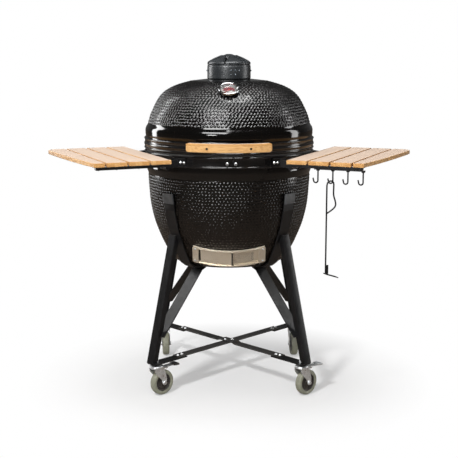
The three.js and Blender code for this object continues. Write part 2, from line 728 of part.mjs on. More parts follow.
function brakePedal() {
  const lever = box(20, 78, -11, 11, BRAKE_Z - 1.5, BRAKE_Z + 1.5);
  const shoe = box(37, 46, -9, 9, 92.5, BRAKE_Z);
  const pad = box(72, 94, -17, 17, BRAKE_Z - 2.5, BRAKE_Z + 3);
  return join(lever, shoe, pad);
}

// ---------------------------------------------------------------- assembly

const grill = new THREE.Group();

add(grill, "base_shell", baseShell(), "ceramic");
add(grill, "firebox", firebox(), "bareCeramic");
add(grill, "fire_ring", latheZ([[222, 760 + GAP], [258, 760 + GAP], [260, 842], [236, 842]]), "bareCeramic");
add(grill, "charcoal_grate", charcoalGrate(), "castIron");
add(grill, "cooking_grid", cookingGrid(), "stainless");
add(grill, "base_gasket", gasket(BASE_RIM_Z + GAP, SEAM_Z - GAP / 2), "felt");
add(grill, "base_band", band(BASE_BAND_Z), "blackSteel");
add(grill, "hinge_base_bracket", hingeBracket(LUG_X, 816, 846, 818, 846, 15), "blackSteel");
add(grill, "hinge_pin", hingePin(), "zinc");
add(grill, "hinge_spring", hingeSpring(), "zinc");

const vent = pivot(grill, "vent_pivot", 0, VENT_Y, VENT_Z);
vent.rotation.x = VENT_LEAN;
add(vent, "vent_frame", ventFrame(), "stainless");
add(vent, "vent_door", ventDoor(), "stainless");
add(vent, "vent_screen", ventScreen(), "stainless");

const lid = pivot(grill, "lid_pivot", 0, HINGE_Y, SEAM_Z);
addAtPivot(lid, "lid_shell", lidShell(), "ceramic");
addAtPivot(lid, "lid_gasket", gasket(SEAM_Z + GAP / 2, LID_RIM_Z - GAP), "felt");
addAtPivot(lid, "lid_band", band(LID_BAND_Z), "blackSteel");
addAtPivot(lid, "hinge_lid_bracket", hingeBracket(ARM_X, 863, 893, 862, 890, 13), "blackSteel");
addAtPivot(lid, "handle_bracket", handleBracket(), "blackSteel");
addAtPivot(lid, "handle_grip", handleGrip(), "bamboo");
addAtPivot(lid, "cap_base", capBase(), "castIron");

const cap = pivot(lid, "cap_pivot", 0, -HINGE_Y, CAP_TURN_Z - SEAM_Z);
add(cap, "cap_top", capTop().translate(0, 0, -CAP_TURN_Z), "castIron");

const dial = pivot(lid, "dial_pivot", 0, -HINGE_Y - DIAL_SEAT[0], DIAL_SEAT[1] - SEAM_Z);
dial.rotation.x = rad(DIAL_TILT);
add(dial, "thermometer_case", thermometerCase(), "chrome");
add(dial, "thermometer_lens", discZ(30.5, 11.5, 13.5, 24), "glass");
add(dial, "thermometer_needle", thermometerNeedle(), "needle");

for (const [word, side] of [["left", -1], ["right", 1]]) {
  const mount = new THREE.Group();
  mount.rotation.z = rad(side * SHELF_AZ - 90);
  grill.add(mount);
  add(mount, `${word}_front_shelf_bracket`, mirrored(shelfBracket(FRONT_ARM_Y), side), "blackSteel");
  add(mount, `${word}_rear_shelf_bracket`, mirrored(shelfBracket(REAR_ARM_Y), side), "blackSteel");
  const shelf = pivot(mount, `${word}_shelf_pivot`, FOLD_X, 0, FOLD_Z);
  addAtPivot(shelf, `${word}_shelf_frame`, mirrored(shelfFrame(), side), "blackSteel");
  for (let i = 0; i < SLAT_COUNT; i += 1) {
    addAtPivot(shelf, `${word}_slat_${i + 1}`, mirrored(slat(i), side), "bamboo");
  }
  if (word === "right") {
    addAtPivot(shelf, "hook_strip", hookStrip(), "blackSteel");
    const tool = pivot(shelf, "tool_pivot", TOOL_SEAT[0] - FOLD_X, TOOL_SEAT[1], TOOL_SEAT[2] - FOLD_Z);
    add(tool, "ash_tool", ashTool(), "blackSteel");
  }
}

// The wheels stand as they were left: the front pair turned half to the side, the rear pair rolled forwards.
const CORNERS = [
  { word: "front_left", az: -LEG_AZ, heading: 43, braked: true },
  { word: "front_right", az: LEG_AZ, heading: 43, braked: true },
  { word: "rear_left", az: -180 + LEG_AZ, heading: -84, braked: false },
  { word: "rear_right", az: 180 - LEG_AZ, heading: -84, braked: false },
];

for (const { word, az, heading, braked } of CORNERS) {
  const leg = new THREE.Group();
  leg.rotation.z = rad(az - 90);
  grill.add(leg);
  const outwards = Math.sign(az) * (Math.abs(az) < 90 ? 1 : -1);
  add(leg, `${word}_leg`, standLeg(outwards), "blackSteel");

  const [x, y] = aroundZ(az, STEM_FROM_AXIS);
  const caster = pivot(grill, `${word}_caster_pivot`, x, y, 0);
  caster.rotation.z = rad(heading);
  add(caster, `${word}_fork`, casterFork(), "zinc");
  const wheel = pivot(caster, `${word}_wheel_pivot`, TRAIL, 0, AXLE_Z);
  addAtPivot(wheel, `${word}_tyre`, tyre(), "tyre");
  addAtPivot(wheel, `${word}_hub`, hub(), "hub");
  if (braked) {
    const brake = pivot(caster, `${word}_brake_pivot`, BRAKE_X, 0, BRAKE_Z);
    addAtPivot(brake, `${word}_brake`, brakePedal(), "zinc");
  }
}

for (const [name, az, stepsOver] of [["cross_bar_lower", 45, false], ["cross_bar_upper", -45, true]]) {
  const bar = add(grill, name, crossBar(stepsOver), "blackSteel");
  bar.rotation.z = rad(az);
}

// Centre the footprint on the origin.
const footprint = new THREE.Box3().setFromObject(grill, true);
grill.position.y = -(footprint.min.y + footprint.max.y) / 2;

const object = new THREE.Group();
object.add(grill);

export default object;
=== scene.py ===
"""Looks for a kamado ceramic grill: beaded glaze, bamboo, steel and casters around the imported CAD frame.

Shapes are drawn in millimetres around the egg's upright axis (x right, y back, z up) and placed in the
frame's metres by TO_ROW. Azimuths are in degrees from the front, growing towards +X.
"""

import json
import math

import bpy
import numpy as np
from mathutils import Matrix, Vector

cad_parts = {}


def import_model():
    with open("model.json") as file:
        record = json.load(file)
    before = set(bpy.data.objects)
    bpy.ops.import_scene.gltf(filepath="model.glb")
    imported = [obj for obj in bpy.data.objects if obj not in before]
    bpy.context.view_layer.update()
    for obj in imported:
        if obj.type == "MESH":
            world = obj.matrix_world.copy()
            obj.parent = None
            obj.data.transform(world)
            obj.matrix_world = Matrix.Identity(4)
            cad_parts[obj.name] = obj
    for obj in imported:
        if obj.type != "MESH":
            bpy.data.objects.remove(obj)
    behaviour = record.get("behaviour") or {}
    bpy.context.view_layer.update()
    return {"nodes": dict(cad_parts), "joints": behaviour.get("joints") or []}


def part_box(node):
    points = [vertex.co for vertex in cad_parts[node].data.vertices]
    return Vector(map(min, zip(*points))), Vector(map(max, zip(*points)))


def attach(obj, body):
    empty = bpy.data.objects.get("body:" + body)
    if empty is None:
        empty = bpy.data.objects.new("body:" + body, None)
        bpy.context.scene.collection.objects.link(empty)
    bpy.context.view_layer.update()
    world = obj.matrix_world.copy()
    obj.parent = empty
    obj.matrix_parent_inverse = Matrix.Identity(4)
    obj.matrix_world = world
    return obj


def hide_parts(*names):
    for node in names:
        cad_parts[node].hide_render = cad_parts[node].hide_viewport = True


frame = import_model()

# ---------------------------------------------------------------- places taken from the frame

JOINTS = {joint["name"]: joint for joint in frame["joints"]}
AXIS_Y = sum(corner.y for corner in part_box("lid_shell")) / 2
TO_ROW = Matrix.Translation((0, AXIS_Y, 0)) @ Matrix.Scale(0.001, 4)


def in_mm(point):
    """A point of the frame, in millimetres around the egg's axis."""
    x, y, z = point
    return Vector((x * 1000, (y - AXIS_Y) * 1000, z * 1000))


def low(node):
    """The lowest corner of a CAD node's box."""
    return in_mm(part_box(node)[0])


def high(node):
    return in_mm(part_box(node)[1])


def anchor(joint):
    return in_mm(JOINTS[joint]["pos_m"])


RIM_R = high("lid_shell").x
BASE_RIM_Z = high("base_shell").z
LID_RIM_Z = low("lid_shell").z
SEAM_Z = (BASE_RIM_Z + LID_RIM_Z) / 2
NECK_TOP_Z = high("lid_shell").z
FOOT_Z = low("base_shell").z
BAND_EDGE_R = high("base_band").x
BASE_BAND_Z = low("base_band").z
LID_BAND_Z = low("lid_band").z
BAND_HEIGHT = high("base_band").z - BASE_BAND_Z
SHELF_TOP_Z = high("right_slat_1").z
SLAT_THICK = SHELF_TOP_Z - low("right_slat_1").z
HINGE = anchor("lid_hinge")
WALL = 28  # ceramic wall at the rim
VENT_AXIS = Vector(JOINTS["vent_door_slide"]["axis"])
VENT_LEAN = Matrix.Rotation(math.atan2(-VENT_AXIS.y, VENT_AXIS.z), 4, "X")
VENT = Matrix.Translation(anchor("vent_door_slide")) @ VENT_LEAN  # the draft door's leaning axis
VENT_HALF = 33.7  # half the plate's height along that axis
VENT_HALF_WIDTH = high("vent_frame").x

# ---------------------------------------------------------------- shapes


class Shape:
    """Corners and faces in millimetres, which can be moved and joined before they become a piece."""

    def __init__(self, corners, faces):
        self.corners = np.array(corners, float).reshape(-1, 3)
        self.faces = [tuple(face) for face in faces]

    def moved(self, matrix):
        turned = self.corners @ np.array(matrix.to_3x3()).T + np.array(matrix.translation)
        mirrored = matrix.determinant() < 0
        faces = [face[::-1] for face in self.faces] if mirrored else self.faces
        return Shape(turned, faces)

    def __add__(self, other):
        start = len(self.corners)
        faces = self.faces + [tuple(i + start for i in face) for face in other.faces]
        return Shape(np.vstack([self.corners, other.corners]), faces)


def joined(shapes):
    shapes = list(shapes)
    whole = shapes[0]
    for shape in shapes[1:]:
        whole = whole + shape
    return whole


def shift(x, y, z):
    return Matrix.Translation((x, y, z))


def turn(degrees, axis):
    return Matrix.Rotation(math.radians(degrees), 4, axis)


def facing(az):
    """A local frame on the egg's axis whose x points outwards at this azimuth."""
    return turn(az - 90, "Z")


def around(az, radius):
    return radius * math.sin(math.radians(az)), -radius * math.cos(math.radians(az))


def unit(vectors):
    return vectors / np.linalg.norm(vectors, axis=-1, keepdims=True)


def distances(points):
    """How far along their line each of the points is."""
    return np.concatenate([[0], np.cumsum(np.linalg.norm(np.diff(points, axis=0), axis=1))])


def mirrored(half, middle=()):
    """A lathe outline whose second half mirrors its first, given as (radius, distance from the middle)."""
    return [(r, -x) for r, x in half] + list(middle) + [(r, x) for r, x in reversed(half)]


def softened(outline, radius, steps=3, loop=True):
    """The outline with each corner rounded off by up to radius."""
    points = [Vector(point) for point in outline]
    result = []
    for i, point in enumerate(points):
        if not loop and i in (0, len(points) - 1):
            result.append(tuple(point))
            continue
        before = points[i - 1] - point
        after = points[(i + 1) % len(points)] - point
        back = before * min(radius / before.length, 0.45)
        ahead = after * min(radius / after.length, 0.45)
        for step in range(steps + 1):
            t = step / steps
            result.append(tuple(point + back * (1 - t) ** 2 + ahead * t ** 2))
    return result


def spline(points, step):
    """Points every step along a smooth curve through the given ones."""
    points = np.array(points, float)
    padded = np.vstack([2 * points[0] - points[1], points, 2 * points[-1] - points[-2]])
    fine = []
    for a, b, c, d in zip(padded, padded[1:], padded[2:], padded[3:]):
        t = np.linspace(0, 1, 24, endpoint=False)[:, None]
        fine.append(0.5 * (2 * b + (c - a) * t + (2 * a - 5 * b + 4 * c - d) * t**2
                           + (3 * b - a - 3 * c + d) * t**3))
    fine = np.vstack(fine + [points[-1:]])
    along = distances(fine)
    stops = np.linspace(0, along[-1], max(2, round(along[-1] / step) + 1))
    return np.column_stack([np.interp(stops, along, fine[:, i]) for i in range(points.shape[1])])


def lathe(outline, segments=128, soft=0.0):
    """A body of revolution about Z. The outline closes on itself, or starts and ends on the axis."""
    on_axis = outline[0][0] == 0 and outline[-1][0] == 0
    if soft:
        outline = softened(outline, soft, loop=not on_axis)
    angles = np.linspace(0, 2 * math.pi, segments, endpoint=False)
    rings = []
    corners = []
    for r, z in outline:
        start = len(corners)
        if r == 0:
            corners.append((0, 0, z))
            rings.append([start] * segments)
        else:
            corners.extend((r * math.sin(a), -r * math.cos(a), z) for a in angles)
            rings.append(list(range(start, start + segments)))
    pairs = list(zip(rings, rings[1:]))
    if not on_axis:
        pairs.append((rings[-1], rings[0]))
    faces = []
    for lower, upper in pairs:
        for i in range(segments):
            j = (i + 1) % segments
            corner_ids = [lower[i], lower[j], upper[j], upper[i]]
            faces.append(list(dict.fromkeys(corner_ids)))
    return turned_out(Shape(corners, faces))


def turned_out(shape):
    """A closed shape with its faces turned outwards."""
    volume = 0.0
    for face in shape.faces:
        a = shape.corners[face[0]]
        for i, j in zip(face[1:], face[2:]):
            volume += np.dot(a, np.cross(shape.corners[i], shape.corners[j]))
    return shape if volume > 0 else Shape(shape.corners, [face[::-1] for face in shape.faces])


def loft(sections):
    """A closed shape through a row of cross-sections, each a list of equally many corners."""
    n = len(sections[0])
    last = (len(sections) - 1) * n
    corners = [point for section in sections for point in section]
    faces = []
    for start in range(0, last, n):
        for i in range(n):
            j = (i + 1) % n
            faces.append((start + i, start + j, start + n + j, start + n + i))
    faces.append(tuple(range(n))[::-1])
    faces.append(tuple(range(last, last + n)))
    return turned_out(Shape(corners, faces))


def prism(outline, z0, z1):
    """A flat outline in x and y, given thickness from z0 to z1."""
    return loft([[(x, y, z) for x, y in outline] for z in (z0, z1)])


def block(x0, x1, y0, y1, z0, z1):
    return prism([(x0, y0), (x1, y0), (x1, y1), (x0, y1)], z0, z1)


def side_plate(outline, y0, y1):
    """An outline in x and z, given thickness along y."""
    return prism(outline, -y1, -y0).moved(turn(90, "X"))


def tube(points, radius, sides=10, step=2.0):
    """A round bar along a smooth curve, with closed ends."""
    path = spline(points, step)
    tangents = unit(np.gradient(path, axis=0))
    reference = np.eye(3)[np.argmin(np.abs(tangents[0]))]
    across = np.cross(tangents[0], reference)
    angles = np.linspace(0, 2 * math.pi, sides, endpoint=False)
    sections = []
    for point, tangent in zip(path, tangents):
        across = unit(across - tangent * np.dot(across, tangent))
        up = np.cross(tangent, across)
        sections.append([point + radius * (math.cos(a) * across + math.sin(a) * up) for a in angles])
    return loft(sections)


def button_bolt(radius, height):
    """A domed bolt head on its washer, rising along z from 0."""
    washer = 0.22 * height
    dome = [(radius * math.cos(a), washer + (height - washer) * math.sin(a)) for a in (0, 0.5, 0.9, 1.25)]
    socket = 0.36 * radius
    top = [(socket, height), (socket * 0.9, height * 0.55), (0, height * 0.5)]
    return lathe([(0, 0), (1.45 * radius, 0), (1.45 * radius, washer), *dome, *top], 24)


def outward_bolt(az, r, z, radius, height):
    """A bolt head that points away from the egg's axis, seated at distance r and height z."""
    return button_bolt(radius, height).moved(facing(az) @ shift(r, 0, z) @ turn(90, "Y"))


def hex_nut(radius, height):
    corners = [(radius * math.cos(a), radius * math.sin(a)) for a in np.arange(6) * math.pi / 3]
    return prism(corners, 0, height)


# ---------------------------------------------------------------- pieces


def placed_object(name, shape):
    """A Blender object of a shape, moved into the frame."""
    mesh = bpy.data.meshes.new(name)
    mesh.from_pydata(shape.moved(TO_ROW).corners.tolist(), [], shape.faces)
    obj = bpy.data.objects.new(name, mesh)
    bpy.context.scene.collection.objects.link(obj)
    return obj


def piece(name, shape, material, body, stands_for=(), smooth=True, normals=None):
    """Makes a Blender object of a shape, gives it its material and ties it to a CAD body. stands_for
    names the CAD nodes that it replaces."""
    obj = placed_object(name, shape)
    mesh = obj.data
    mesh.polygons.foreach_set("use_smooth", [smooth] * len(mesh.polygons))
    mesh.materials.append(material)
    mesh.update()
    if normals is not None:
        mesh.normals_split_custom_set_from_vertices(normals.tolist())
    if stands_for:
        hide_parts(*stands_for)
    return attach(obj, body)


def bevel(obj, width, segments=2, angle=35):
    """Rounds the sharp edges of a piece by width in millimetres."""
    modifier = obj.modifiers.new("edges", "BEVEL")
    modifier.width = width / 1000
    modifier.segments = segments
    modifier.limit_method = "ANGLE"
    modifier.angle_limit = math.radians(angle)
    modifier.harden_normals = True


def flat_piece(name, shape, material, body, edge=0.6, stands_for=()):
    """A piece with flat faces and softly rounded edges."""
    bevel(piece(name, shape, material, body, stands_for), edge)


def smooth_by_angle(obj, degrees=32):
    obj.data.set_sharp_from_angle(angle=math.radians(degrees))


def carve(obj, shape):
    """Cuts a shape out of a piece."""
    cutter = placed_object("tool", shape)
    modifier = obj.modifiers.new("cut", "BOOLEAN")
    modifier.operation = "DIFFERENCE"
    modifier.solver = "EXACT"
    modifier.object = cutter
    bpy.context.view_layer.update()
    result = obj.evaluated_get(bpy.context.evaluated_depsgraph_get())
    carved = bpy.data.meshes.new_from_object(result)
    obj.modifiers.clear()
    obj.data = carved
    bpy.data.objects.remove(cutter)
    smooth_by_angle(obj)


def dress(node, material, edge=0.6):
    """Gives a CAD node its material, and rounds its edges with modifiers that leave its mesh as it is."""
    obj = frame["nodes"][node]
    for material_slot in obj.material_slots:
        material_slot.material = material
    if edge:
        weld = obj.modifiers.new("weld", "WELD")
        weld.merge_threshold = 0.00001
        flat = obj.modifiers.new("flat", "DECIMATE")
        flat.decimate_type = "DISSOLVE"
        flat.angle_limit = math.radians(1)
        bevel(obj, edge, angle=30)


# ---------------------------------------------------------------- materials


class Finish:
    """Builds one procedural material. Its methods add nodes and return their outputs."""

    def __init__(self, name, **values):
        self.material = bpy.data.materials.new(name)
        self.material.use_nodes = True
        self.tree = self.material.node_tree
        self.shader = self.tree.nodes["Principled BSDF"]
        self.place = self.node("ShaderNodeTexCoord").outputs["Object"]
        for key, value in values.items():
            self.set(key.replace("_", " "), value)

    def node(self, kind, **settings):
        made = self.tree.nodes.new(kind)
        for key, value in settings.items():
            setattr(made, key, value)
        return made

    def feed(self, socket, value):
        if isinstance(value, bpy.types.NodeSocket):
            self.tree.links.new(value, socket)
        elif socket.type == "RGBA":
            socket.default_value = (*value, 1)
        else:
            socket.default_value = value

    def set(self, name, value):
        self.feed(self.shader.inputs[name], value)

    def mapped(self, scale=(1, 1, 1), turn_z=0.0):
        """The object's own coordinates, turned about Z and then stretched."""
        turned = self.node("ShaderNodeMapping", vector_type="POINT")
        turned.inputs["Rotation"].default_value = (0, 0, math.radians(turn_z))
        self.feed(turned.inputs["Vector"], self.place)
        scaled = self.node("ShaderNodeMapping", vector_type="POINT")
        scaled.inputs["Scale"].default_value = scale
        self.feed(scaled.inputs["Vector"], turned.outputs["Vector"])
        return scaled.outputs["Vector"]

    def noise(self, scale, detail=3.0, where=None, rough=0.55):
        made = self.node("ShaderNodeTexNoise")
        self.feed(made.inputs["Vector"], where or self.place)
        made.inputs["Scale"].default_value = scale
        made.inputs["Detail"].default_value = detail
        made.inputs["Roughness"].default_value = rough
        return made.outputs["Fac"]

    def cells(self, scale, where=None, output="Distance"):
        made = self.node("ShaderNodeTexVoronoi")
        self.feed(made.inputs["Vector"], where or self.place)
        made.inputs["Scale"].default_value = scale
        return made.outputs[output]

    def between(self, value, low_in, high_in, low_out=0.0, high_out=1.0):
        made = self.node("ShaderNodeMapRange")
        for name, number in zip(("From Min", "From Max", "To Min", "To Max"),
                                (low_in, high_in, low_out, high_out)):
            self.feed(made.inputs[name], number)
        self.feed(made.inputs["Value"], value)
        return made.outputs["Result"]

    def math(self, operation, a, b=0.0):
        made = self.node("ShaderNodeMath", operation=operation)
        self.feed(made.inputs[0], a)
        self.feed(made.inputs[1], b)
        return made.outputs["Value"]

    def mix(self, share, first, second):
        """The first colour where share is 0 and the second where it is 1."""
        made = self.node("ShaderNodeMix", data_type="RGBA")
        self.feed(made.inputs["Factor"], share)
        self.feed(made.inputs[6], first)
        self.feed(made.inputs[7], second)
        return made.outputs[2]

    def part(self, axis, where=None):
        made = self.node("ShaderNodeSeparateXYZ")
        self.feed(made.inputs["Vector"], where or self.place)
        return made.outputs[axis]

    def show(self, share, first, second):
        """Shows the first shader where share is 0 and the second where it is 1."""
        blend = self.node("ShaderNodeMixShader")
        self.feed(blend.inputs[0], share)
        self.feed(blend.inputs[1], first.outputs[0])
        self.feed(blend.inputs[2], second.outputs[0])
        self.feed(self.tree.nodes["Material Output"].inputs["Surface"], blend.outputs[0])

    def bump(self, height, depth):
        """Bump that is depth millimetres deep where height goes from 0 to 1."""
        made = self.node("ShaderNodeBump")
        made.inputs["Strength"].default_value = 1.0
        made.inputs["Distance"].default_value = depth / 1000
        self.feed(made.inputs["Height"], height)
        self.set("Normal", made.outputs["Normal"])

    def edge_mask(self, radius=1.2):
        """1 on sharp edges and 0 on flat faces."""
        rounded = self.node("ShaderNodeBevel", samples=4)
        rounded.inputs["Radius"].default_value = radius / 1000
        plain = self.node("ShaderNodeNewGeometry")
        dot = self.node("ShaderNodeVectorMath", operation="DOT_PRODUCT")
        self.feed(dot.inputs[0], rounded.outputs["Normal"])
        self.feed(dot.inputs[1], plain.outputs["Normal"])
        return self.between(dot.outputs["Value"], 0.995, 0.9)


def coat(name, tone, colours, rough, bump, worn=None, edge=1.2, **values):
    """A coat of mottled colour, uneven gloss and fine bump, paler on its edges where worn is given.
    tone is (scale, detail) of a noise; rough adds the least and the most roughness; bump its depth."""
    made = Finish(name, **values)
    colour = made.mix(made.noise(*tone), *colours)
    if worn:
        colour = made.mix(made.edge_mask(edge), colour, worn)
    made.set("Base Color", colour)
    scale, detail, least, most = rough
    made.set("Roughness", made.between(made.noise(scale, detail), 0.3, 0.7, least, most))
    scale, detail, depth = bump
    made.bump(made.noise(scale, detail), depth)
    return made.material


def glazed_ceramic():
    """Black glaze whose colour warms towards the egg's foot: a painted warm reflection."""
    made = Finish("glazed_ceramic", IOR=1.45)
    # Painted reflection: the base colour turns warmer low on the egg in place of warm surroundings mirrored
    # in the glaze.
    painted_warm_reflection = made.between(made.part("Z"), 0.72, 0.48)
    black = made.mix(made.noise(7, 2), (0.0012, 0.0012, 0.0014), (0.003, 0.0026, 0.0023))
    made.set("Base Color", made.mix(painted_warm_reflection, black, (0.006, 0.0042, 0.003)))
    made.set("Roughness", made.between(made.noise(26, 3), 0.3, 0.75, 0.06, 0.12))
    made.bump(made.noise(60, 2), 0.05)
    return made.material


def band_enamel():
    """Smooth black enamel on the bands."""
    colours = (0.004, 0.004, 0.005), (0.01, 0.009, 0.008)
    return coat("band_enamel", (12, 3), colours, (30, 3, 0.1, 0.2), (120, 2, 0.06), IOR=1.5)


def bare_ceramic():
    made = Finish("bare_ceramic")
    speckle = made.between(made.noise(420, 2), 0.55, 0.7)
    soot = made.between(made.noise(9, 5), 0.35, 0.7)
    clay = made.mix(soot, (0.46, 0.38, 0.28), (0.12, 0.1, 0.085))
    made.set("Base Color", made.mix(speckle, clay, (0.2, 0.15, 0.11)))
    made.set("Roughness", 0.86)
    made.bump(made.noise(260, 5), 0.5)
    return made.material


def cast_iron():
    colours = (0.014, 0.017, 0.02), (0.028, 0.032, 0.035)
    return coat("cast_iron", (22, 4), colours, (22, 4, 0.3, 0.42), (750, 4, 0.1),
                worn=(0.06, 0.064, 0.068), edge=0.9, Metallic=0.1)


def black_steel():
    """The stand's and brackets' satin powder coat."""
    colours = (0.003, 0.003, 0.0035), (0.007, 0.007, 0.0075)
    return coat("black_steel", (18, 3), colours, (45, 3, 0.3, 0.44), (1100, 2, 0.08),
                worn=(0.03, 0.03, 0.031), Specular_IOR_Level=0.3)


def bar_steel():
    """The cross bars' thinner, browner paint."""
    colours = (0.026, 0.024, 0.021), (0.044, 0.04, 0.036)
    return coat("bar_steel", (24, 4), colours, (60, 3, 0.36, 0.5), (900, 2, 0.08),
                worn=(0.09, 0.084, 0.078), Metallic=0.25)


def enamel(name, colour):
    """Plain paint with a little mottling."""
    darker = tuple(channel * 0.82 for channel in colour)
    return coat(name, (90, 3), (colour, darker), (150, 2, 0.35, 0.5), (600, 2, 0.03))


def stainless_steel():
    made = Finish("stainless", Metallic=0.8)
    lines = made.noise(30, 3, made.mapped((1, 1, 60)))
    haze = made.noise(14, 3)
    made.set("Base Color", made.mix(haze, (0.88, 0.8, 0.66), (0.75, 0.67, 0.54)))
    made.set("Roughness", made.between(lines, 0.3, 0.7, 0.27, 0.46))
    made.set("Anisotropic", 0.5)
    made.bump(lines, 0.05)
    return made.material


def chrome():
    made = Finish("chrome", Metallic=1.0)
    smear = made.noise(60, 4)
    made.set("Base Color", made.mix(smear, (0.48, 0.49, 0.5), (0.36, 0.37, 0.38)))
    made.set("Roughness", made.between(smear, 0.35, 0.7, 0.05, 0.16))
    made.bump(made.noise(300, 2), 0.02)
    return made.material


def zinc():
    made = Finish("zinc", Metallic=0.8)
    spangle = made.cells(210, output="Color")
    grey = made.mix(spangle, (0.72, 0.74, 0.76), (0.86, 0.88, 0.89))
    dull = made.between(made.noise(70, 4), 0.4, 0.7)
    made.set("Base Color", made.mix(dull, grey, (0.6, 0.61, 0.61)))
    made.set("Roughness", made.between(made.noise(90, 3), 0.3, 0.7, 0.26, 0.44))
    made.bump(made.noise(500, 3), 0.06)
    return made.material


STRIP = 0.0235  # width of the strips that the bamboo boards are glued up from, in metres


def bamboo(name, turn_z, across_axis="Y"):
    """Laminated bamboo whose grain runs along x once the board is turned by -turn_z. Its strips are
    glued up side by side along across_axis. It pales where the board is seen edge-on: a painted sheen."""
    made = Finish(name, Specular_IOR_Level=0.1)
    board = made.mapped((1, 1, 1), turn_z)
    strips = made.math("DIVIDE", made.part(across_axis, board), STRIP)
    tone = made.node("ShaderNodeTexWhiteNoise", noise_dimensions="1D")
    made.feed(tone.inputs["W"], made.math("FLOOR", strips))
    wood = made.mix(tone.outputs["Value"], (0.51, 0.27, 0.093), (0.62, 0.37, 0.152))

    grain = made.noise(8, 5, made.mapped((1, 34, 34), turn_z), 0.65)
    wood = made.mix(made.between(grain, 0.45, 0.72, 0, 0.9), wood, (0.34, 0.145, 0.038))
    fibre = made.noise(36, 4, made.mapped((1, 26, 26), turn_z))
    wood = made.mix(made.between(fibre, 0.55, 0.75, 0, 0.2), wood, (0.8, 0.55, 0.27))
    knuckle = made.cells(9, made.mapped((1, 5, 5), turn_z))
    wood = made.mix(made.between(knuckle, 0.11, 0.02, 0, 0.7), wood, (0.3, 0.15, 0.06))
    joint = made.math("ABSOLUTE", made.math("SUBTRACT", made.math("FRACT", strips), 0.5))
    wood = made.mix(made.between(joint, 0.485, 0.5, 0, 0.5), wood, (0.3, 0.16, 0.06))

    # Painted sheen: seen edge-on, the wood's colour pales towards a pinkish white in place of the white
    # background's reflection.
    painted_sheen_facing = made.node("ShaderNodeLayerWeight").outputs["Facing"]
    made.set("Base Color", made.mix(made.between(painted_sheen_facing, 0.7, 0.92, 0, 0.85), wood, (0.66, 0.55, 0.47)))
    made.set("Roughness", made.between(grain, 0.3, 0.7, 0.42, 0.58))
    made.bump(fibre, 0.04)
    return made.material


def felt():
    made = Finish("felt", Roughness=0.95, Sheen_Weight=0.4)
    fuzz = made.noise(900, 4)
    made.set("Base Color", made.mix(fuzz, (0.02, 0.019, 0.018), (0.07, 0.066, 0.062)))
    made.bump(fuzz, 0.5)
    return made.material


def lens_glass():
    """Clear glass that lets the dial show at full brightness."""
    made = Finish("lens", Roughness=0.03)
    clear = made.node("ShaderNodeBsdfTransparent")
    glare = made.node("ShaderNodeBsdfGlossy")
    made.feed(glare.inputs["Roughness"], made.between(made.noise(40, 3), 0.3, 0.7, 0.02, 0.06))
    rim = made.node("ShaderNodeFresnel")
    rim.inputs["IOR"].default_value = 1.35
    made.show(made.math("MULTIPLY", rim.outputs[0], 0.3), clear, glare)
    return made.material


def rubber(name, colour, dust):
    made = Finish(name)
    scuff = made.between(made.noise(55, 5), 0.5, 0.72)
    made.set("Base Color", made.mix(scuff, colour, dust))
    made.set("Roughness", made.between(made.noise(80, 3), 0.3, 0.7, 0.5, 0.72))
    made.bump(made.noise(420, 4), 0.12)
    return made.material


GLAZE = glazed_ceramic()
CLAY = bare_ceramic()
IRON = cast_iron()
STAINLESS = stainless_steel()
CHROME = chrome()
ZINC = zinc()
BLACK = black_steel()
BAR = bar_steel()
ENAMEL = band_enamel()
FELT = felt()
LENS = lens_glass()
DIAL_WHITE = enamel("dial_white", (0.45, 0.44, 0.42))
DIAL_BLACK = enamel("dial_black", (0.02, 0.02, 0.02))
DIAL_RED = enamel("dial_red", (0.2, 0.008, 0.02))
RIVET_GREY = enamel("rivet_grey", (0.1, 0.125, 0.15))
NEEDLE_RED = enamel("needle_red", (0.5, 0.02, 0.015))
TYRE = rubber("tyre", (0.2, 0.2, 0.145), (0.26, 0.255, 0.2))
HUB = rubber("hub", (0.03, 0.024, 0.02), (0.06, 0.05, 0.044))
PAD = rubber("pad", (0.05, 0.052, 0.055), (0.075, 0.078, 0.08))
GRIP_BAMBOO = bamboo("grip_bamboo", 0, "Z")

# ---------------------------------------------------------------- beaded egg

COLUMNS = 960
BEAD_PITCH = 12.4
BEAD_ROW = 10.6
BEAD_RADIUS = 5.0
BEAD_HEIGHT = 1.8
BEAD_STRAY = 1.1  # how far a bead may be off its place


def bead_height(theta, along, radius_at, fade):
    """Height of the staggered bead pattern at angle theta and distance along the outline."""
    ball = (BEAD_RADIUS**2 + BEAD_HEIGHT**2) / (2 * BEAD_HEIGHT)
    height = np.zeros(np.broadcast(theta, along).shape)
    for neighbour in (-1, 0, 1):
        row = np.floor(along / BEAD_ROW) + neighbour
        centre = (row + 0.5) * BEAD_ROW
        radius = radius_at(centre)
        count = np.maximum(np.round(2 * math.pi * radius / BEAD_PITCH), 1)
        step = 2 * math.pi / count
        phase = np.where(row % 2 == 0, 0.25, 0.75) + 0.1 * np.sin(row * 2.7)
        place = theta / step - phase
        number = np.round(place) % count
        aside = BEAD_STRAY * np.sin(number * 12.9898 + row * 78.233)
        ahead = BEAD_STRAY * np.sin(number * 39.425 + row * 17.13)
        offset = (place - np.round(place)) * step * radius - aside
        squared = offset**2 + (along - centre - ahead) ** 2
        cap = np.sqrt(np.maximum(ball**2 - squared, 0)) - (ball - BEAD_HEIGHT)
        height = np.maximum(height, np.where(squared < BEAD_RADIUS**2, cap, 0))
    return height * fade(theta, along)


